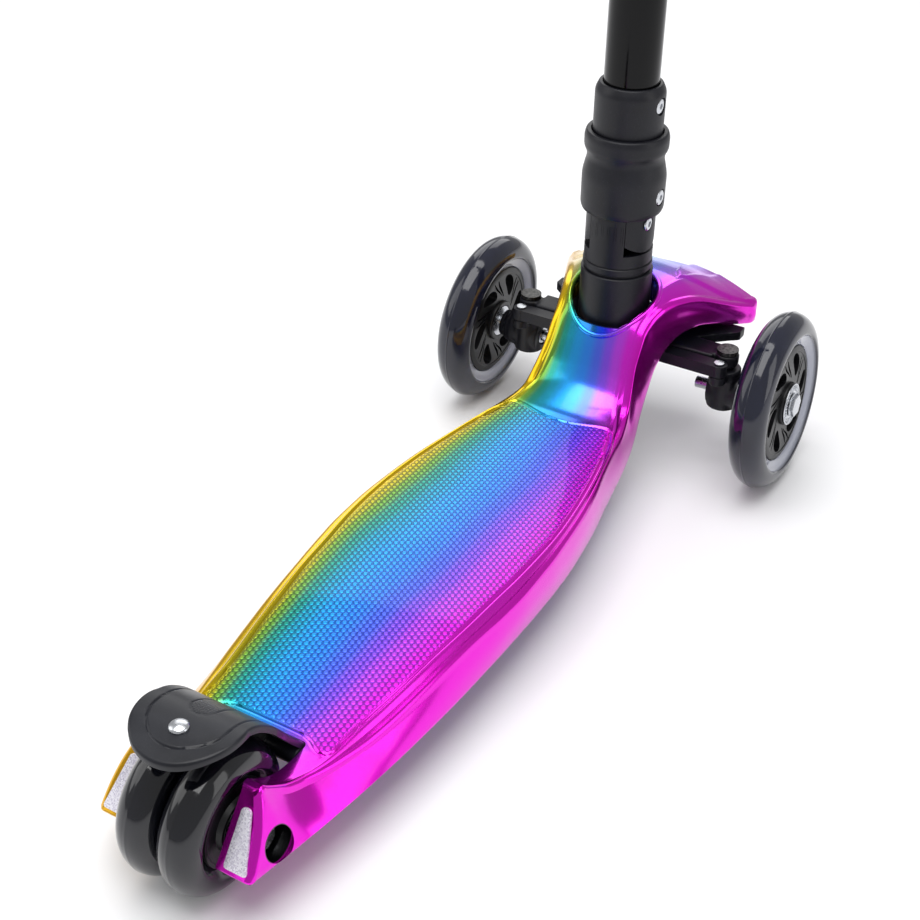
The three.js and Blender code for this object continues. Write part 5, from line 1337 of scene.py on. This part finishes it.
# Button head screw along y with a hex socket
def makeScrew(name, x, face, height, body, node, headRadius=5.1, deep=3.4):
    out = face + 0.3
    profile = [(0, -out + 0.2), (headRadius, -out + 0.2), (headRadius, -out - 0.4)]
    for k in range(1, 7):
        angle = math.pi / 2 * k / 6
        profile.append((headRadius - 1.7 + 1.7 * math.cos(angle), -out - 0.4 - 0.9 * math.sin(angle)))
    profile.append((0, -out - 1.4))
    head = turn(name, profile, "zinc", (x, 0, height), axisAcross, 48, closed=False)
    carve(head, [prism("socket", hexagon(2.2, x, height), "xz", -out - 4, -out - 0.5, "zinc")], angle=32)
    shank = rod("shank", 2.6, (x, -out, height), (x, -out + deep, height), "zinc", 32)
    merge(head, shank)
    smooth(head, 32)
    place(head, body, "zinc_steel", node)


def makeColumnBase(c):
    low, high = c["rings"]
    thin = c["foldRadius"]
    profile = [(0, c["foot"]), (c["radius"] - 1.2, c["foot"]), (c["radius"], c["foot"] + 1.2),
        (c["radius"], low - 1.6), (c["radius"] - 0.5, low - 1.1), (thin - 0.9, low - 0.9),
        (thin - 0.9, low + 0.7), (thin + 0.1, low + 0.9), (thin + 0.4, low + 1.3), (thin + 0.4, high - 1.1),
        (thin, high - 0.7), (thin - 0.6, high - 0.5), (thin - 0.6, high + 0.3), (thin, high + 0.5),
        (thin, c["foldHeight"] - 0.3), (0, c["foldHeight"] - 0.3)]
    barrel = turnColumn("barrel", profile, "nylon", closed=False)
    fold = (c["foldX"], c["foldHeight"])
    rooms = []
    for s in (-1, 1):
        near, far = sorted((s * c["tongueHalf"], s * 35))
        rooms.append(box("room", (400, near, c["roomFloor"]), (fold[0] + c["cheek"] + 0.3, far, 190),
            "nylon"))
    carve(barrel, rooms)
    tongue = rod("tongue", c["tongue"], (fold[0], -c["tongueHalf"], fold[1]),
        (fold[0], c["tongueHalf"], fold[1]), "nylon", 96, 0.6)
    root = box("root", (417.5, -c["tongueHalf"], 151), (454.5, c["tongueHalf"], 177.8), "nylon")
    for form in (tongue, root):
        inside = rod("inside", c["foldRadius"], (c["x"], 0, 151), (c["x"], 0, 200), "nylon", 96)
        carve(form, [inside], "INTERSECT")
    boss = rod("leanBoss", 9, (425.3, 0, 95), (447.6, 0, 95), "nylon", edge=0.6)
    neck = box("leanNeck", (425.3, -9, 95), (447.6, 9, 105.6), "nylon", 0.5)
    driver = rod("driver", 4, (426.9, 0, 81), (455.2, 0, 81), "nylon", 40, 0.5)
    arm = box("driverArm", (426.9, -2.2, 81), (446, 2.2, 95), "nylon", 0.3)
    low = merge(boss, neck, driver, arm)
    piece = merge(barrel, tongue, root, low)
    piece.name = "columnBase"
    smooth(piece, 32)
    place(piece, "column_foot", "black_nylon", "column_base")


def makeFork(c):
    low = c["foldHeight"] - c["cheek"]
    profile = [(0, low), (c["foldRadius"], low), (c["foldRadius"], c["forkTop"] - 1.2),
        (c["foldRadius"] - 1.2, c["forkTop"]), (0, c["forkTop"])]
    fork = turnColumn("stemFork", profile, "nylon", closed=False)
    below = box("below", (400, -40, low - 10), (480, 40, c["foldHeight"]), "nylon")
    keep = rod("keep", c["cheek"], (c["foldX"], -45, c["foldHeight"]), (c["foldX"], 45, c["foldHeight"]),
        "nylon", 128)
    carve(below, [keep])
    throat = c["tongueHalf"] + 0.3
    slot = box("slot", (400, -throat, low - 10), (480, throat, c["foldHeight"] + c["throat"]), "nylon")
    socket = rod("socket", 17.4, (c["x"], 0, c["tubeFoot"]), (c["x"], 0, 240), "nylon", 96)
    bore = rod("bore", 3.3, (c["foldX"], -40, c["foldHeight"]), (c["foldX"], 40, c["foldHeight"]), "nylon",
        40)
    seat = rod("seat", 4.9, (c["foldX"], -c["pinSeat"], c["foldHeight"]), (c["foldX"], -40, c["foldHeight"]),
        "nylon", 48)
    carve(fork, [below, slot, socket, bore, seat], angle=30)
    place(fork, "stem", "black_nylon", "stem_fork")
    makeScrew("foldPin", c["foldX"], c["pinSeat"], c["foldHeight"], "stem", "fold_pin", 4.5,
        2 * c["pinSeat"] - 1)


# Sinks a screw into a ring of the stem and places both
def screwedRing(c, ring, name, body, node):
    face = math.sqrt(c[name + "Radius"] ** 2 - 1) - c[name + "Sink"]
    height = c[name + "Screw"]
    carve(ring, screwSeat(c["screwX"], face, height), angle=50)
    place(ring, body, "black_nylon", node)
    makeScrew(name + "Screw", c["screwX"], face, height, body, name + "_screw", deep=1.6)


def makeStemParts(c):
    collarProfile = roundCorners([(22.6, 183), (25.3, 183), (26.5, 186.1), (c["collarRadius"], 207),
        (25.3, 212.8),
        (24.15, 217.6), (24.6, 221), (26.4, 224.4), (26.5, 231.6), (25.3, 235), (22.6, 235)],
        [0.3, 1.3, 2.4, 4.5, 3.5, 3, 2.5, 2.4, 2.4, 1.4, 0.3], 6)
    collar = turnColumn("lockCollar", collarProfile, "nylon", angle=50)
    screwedRing(c, collar, "collar", "collar", "lock_collar")
    sleeveProfile = roundCorners([(17.4, 219.3), (c["sleeveRadius"], 219.3), (c["sleeveRadius"], 260.7),
        (19.4, 265.5), (17.4, 265.5)],
        [0.3, 0.6, 2.2, 1.2, 0.5], 5)
    sleeve = turnColumn("stemSleeve", sleeveProfile, "nylon", angle=50)
    screwedRing(c, sleeve, "sleeve", "stem", "stem_sleeve")
    tubeProfile = roundCorners([(14.7, 205.3), (17.1, 205.3), (17.1, 500), (14.7, 500)], 0.35, 3)
    place(turnColumn("outerTube", tubeProfile, "paint"), "stem", "black_tube", "outer_tube")
    innerProfile = roundCorners([(12.3, 340), (14.3, 340), (14.3, 643.7), (12.3, 643.7)], 0.35, 3)
    place(turnColumn("innerTube", innerProfile, "anodised"), "handlebar", "bright_tube", "inner_tube")


makeColumnBase(column)
makeFork(column)
makeStemParts(column)
print("column made")


# Height clamp with its quick release lever

clamp = {"low": 468.0, "height": 32.0, "radius": 22.0, "earReach": 34.0, "slit": 2.4, "boltX": 414.0,
    "pivotY": 16.0, "barrel": 6.2, "thick": 4.2}


def makeClamp(c):
    middle = c["low"] + c["height"] / 2
    high = c["low"] + c["height"]
    ring = turnColumn("ring", roundCorners([(15.8, c["low"] + 0.2), (21.8, c["low"] + 0.2),
        (21.8, high - 0.2), (15.8, high - 0.2)], [0, 1.5, 1.5, 0], 4), "nylon")
    ears = box("ears", (columnX - c["earReach"] + 0.2, -8.8, middle - 9.4), (421, 8.8, middle + 9.4), "nylon",
        1.5)
    piece = mould("heightClamp", [ring, ears], 0.75, 3)
    cutters = [rod("tubeBore", 17.4, (columnX, 0, c["low"] - 5), (columnX, 0, high + 5), "nylon", 96),
        box("slit", (400, -c["slit"] / 2, c["low"] - 8), (columnX, c["slit"] / 2, high + 8), "nylon"),
        rod("boltBore", 2.8, (c["boltX"], -22, middle), (c["boltX"], 22, middle), "nylon", 32)]
    carve(piece, cutters, angle=40)
    place(piece, "stem", "black_nylon", "clamp_ring")
    barrel = rod("barrel", c["barrel"], (c["boltX"], -c["pivotY"], middle - 8),
        (c["boltX"], -c["pivotY"], middle + 8), "nylon", edge=0.8)
    outer = c["radius"] + 0.3 + c["thick"] + 1.6
    inner = outer - c["thick"]
    x = c["boltX"]
    blade = curveThrough([(x + 2, -outer + 0.6), (x + 10, -outer), (x + 30, -outer), (x + 46, -outer + 0.2),
        (x + 56, -outer + 0.1), (x + 57.6, -outer + 0.8), (x + 55.6, -inner - 1.2), (x + 46, -inner),
        (x + 30, -inner), (x + 13, -inner)], 6)
    outline = [(x - 5.8, -c["pivotY"] - 2)] + [tuple(p) for p in blade] + [(x + 6, -c["pivotY"] - 1)]
    slab = prism("blade", outline, "xy", middle - 7.9, middle + 7.9, "nylon", edge=0.9)
    lever = mould("clampLever", [barrel, slab], 0.6, 2)
    room = rod("room", c["barrel"] + 0.4, (x, -c["pivotY"], middle - 2.8), (x, -c["pivotY"], middle + 2.8),
        "nylon", 64)
    bore = rod("bore", 2.8, (x, -c["pivotY"], middle - 20), (x, -c["pivotY"], middle + 20), "nylon", 32)
    carve(lever, [room, bore], angle=40)
    place(lever, "height_lever", "black_nylon", "clamp_lever")


makeClamp(clamp)


# T bar and grips

bar = {"height": 655.0, "radius": 11.0, "bore": 9.0, "half": 138.0, "gripLength": 98.0, "gripEnd": 3.5,
    "ribs": 13, "ribPitch": 5.6, "ribRise": 0.75}


def makeBar(b):
    x, z = column["x"], b["height"]
    across = turn("across", roundCorners([(12.5, -31.8), (17.2, -31.8), (17.2, 31.8), (12.5, 31.8)],
        [0, 1.6, 1.6, 0], 4), "nylon", (x, 0, z), axisAcross, 96)
    core = rod("core", 13, (x, -30, z), (x, 30, z), "nylon", 64)
    socket = rod("socket", 17.2, (x, 0, z - 39.8), (x, 0, z), "nylon", 96, 1.4)
    tee = mould("teeJoint", [across, core, socket], 0.8, 5)
    carve(tee, [rod("barBore", 11.3, (x, -45, z), (x, 45, z), "nylon", 64),
        rod("tubeBore", 14.6, (x, 0, z - 50), (x, 0, z - 11), "nylon", 64)], angle=40)
    place(tee, "handlebar", "black_nylon", "tee_joint")
    tube = turn("handlebarTube", roundCorners([(b["bore"], -b["half"]), (b["radius"], -b["half"]),
        (b["radius"], b["half"]), (b["bore"], b["half"])], 0.3, 2), "paint", (x, 0, z), axisAcross, 96)
    place(tube, "handlebar", "black_tube", "handlebar_tube")
    start, end = b["half"] + b["gripEnd"] - b["gripLength"], b["half"] + b["gripEnd"]
    profile = roundCorners([(0, -end), (12.6, -end), (14.6, -end + 3.0), (14.6, -start - 9),
        (18.9, -start - 4), (18.9, -start - 1.0), (17.6, -start), (11.3, -start), (11.3, -b["half"] - 0.3),
        (0, -b["half"] - 0.3)], [0, 1.5, 1.5, 3, 1.2, 0.8, 0.6, 0.2, 0.2, 0], 4, closed=False)
    grip = turn("grip", profile, "rubber", (x, 0, z), axisAcross, 96, closed=False, angle=40)
    ribProfile = roundCorners([(14.2, -1.7), (14.6, -1.7), (14.6 + b["ribRise"], -0.9),
        (14.6 + b["ribRise"], 0.9), (14.6, 1.7), (14.2, 1.7)], [0, 0.2, 0.5, 0.5, 0.2, 0], 3)
    first = (x, -end + 8.0, z)
    rib = turn("rib", ribProfile, "rubber", first, axisAcross, 96, angle=40)
    repeated(rib, rowTree, b["ribs"], b["ribPitch"] * mm, first, axisAcross, "rubber")
    knob = turn("knob", [(0, -1.1), (0.9, -1.1), (1.1, -0.4), (1.1, 0.4), (0.9, 1.1), (0, 1.1)], "rubber",
        (x, -end + 0.2, z + 7.5), axisAcross, 16, closed=False)
    knob.data.transform(Matrix.Translation(Vector((0, 0.9, 0)) * mm))
    repeated(knob, ringTree, 8, math.pi / 4, (x, -end + 0.2, z), axisAcross, "rubber")
    merge(grip, rib, knob)
    smooth(grip, 40)
    placePair(grip, "Grip", "handlebar", "grip_rubber", "SIDE_grip")


makeBar(bar)
print("clamp and bar made")


# Finishes of the small CAD pieces that keep their shape

finishes = {
    "oxide": ["SIDE_kingpin"],
    "zinc": ["SIDE_front_outer_bearing", "SIDE_front_inner_bearing", "SIDE_front_axle_nut",
             "SIDE_tie_rod_pin", "SIDE_rear_bearing", "lean_pin", "clamp_bolt", "clamp_nut", "rear_spacer",
             "rear_axle_bolt", "rear_axle_nut", "brake_hinge_pin"],
    "spring": ["lean_spring", "brake_spring"],
    "nylon": ["tie_rod"],
}
for look, names in finishes.items():
    for name in names:
        for side in (("right", "left") if "SIDE" in name else ("",)):
            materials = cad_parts[name.replace("SIDE", side)].data.materials
            materials.clear()
            materials.append(looks[look])


# Floor and light

studio = {
    "floorColour": "fafafc", "floorReach": 6.0, "worldStrength": 0.45,
    # each light's place, target, size in metres and power in watts
    "boxes": {
        "overheadBox": ((-0.2, 0.0, 1.9), (0.0, 0.0, 0.0), (1.6, 1.6), 29),
        "frontBox": ((1.7, 0.95, 1.25), (0.0, 0.0, 0.05), (2.0, 1.3), 12),
        "leftBox": ((-0.7, 1.7, 1.1), (0.05, 0.0, 0.08), (1.2, 1.5), 8),
        "rightStrip": ((0.3, -1.8, 0.8), (0.1, 0.0, 0.1), (0.7, 1.5), 5),
    },
}


def softbox(name, place, target, size, power):
    data = bpy.data.lights.new(name, "AREA")
    data.shape = "RECTANGLE"
    data.size, data.size_y = size
    data.energy = power
    obj = addObject(name, data)
    obj.location = place
    obj.rotation_euler = (Vector(target) - Vector(place)).to_track_quat("-Z", "Y").to_euler()


def makeStudio(s):
    material, tree, coordinates = newMaterial("paleStudioFloor", Roughness=0.85, Specular_IOR_Level=0.1)
    faint = noise(tree, coordinates, 3.0)
    tone = blend(tree, faint, s["floorColour"], "fafafb")
    wire(tree, Base_Color=tone)
    mesh = bpy.data.meshes.new("studioFloor")
    reach = s["floorReach"]
    mesh.from_pydata([(-reach, -reach, 0), (reach, -reach, 0), (reach, reach, 0), (-reach, reach, 0)], [],
        [(0, 1, 2, 3)])
    floor = addObject("studioFloor", mesh)
    mesh.materials.append(material)
    world = bpy.data.worlds.new("paleStudio")
    world.use_nodes = True
    background = world.node_tree.nodes["Background"]
    background.inputs["Color"].default_value = (1, 1, 1, 1)
    background.inputs["Strength"].default_value = s["worldStrength"]
    bpy.context.scene.world = world
    bpy.context.scene.view_settings.view_transform = "Standard"
    for name, values in s["boxes"].items():
        softbox(name, *values)


makeStudio(studio)
print("studio made")
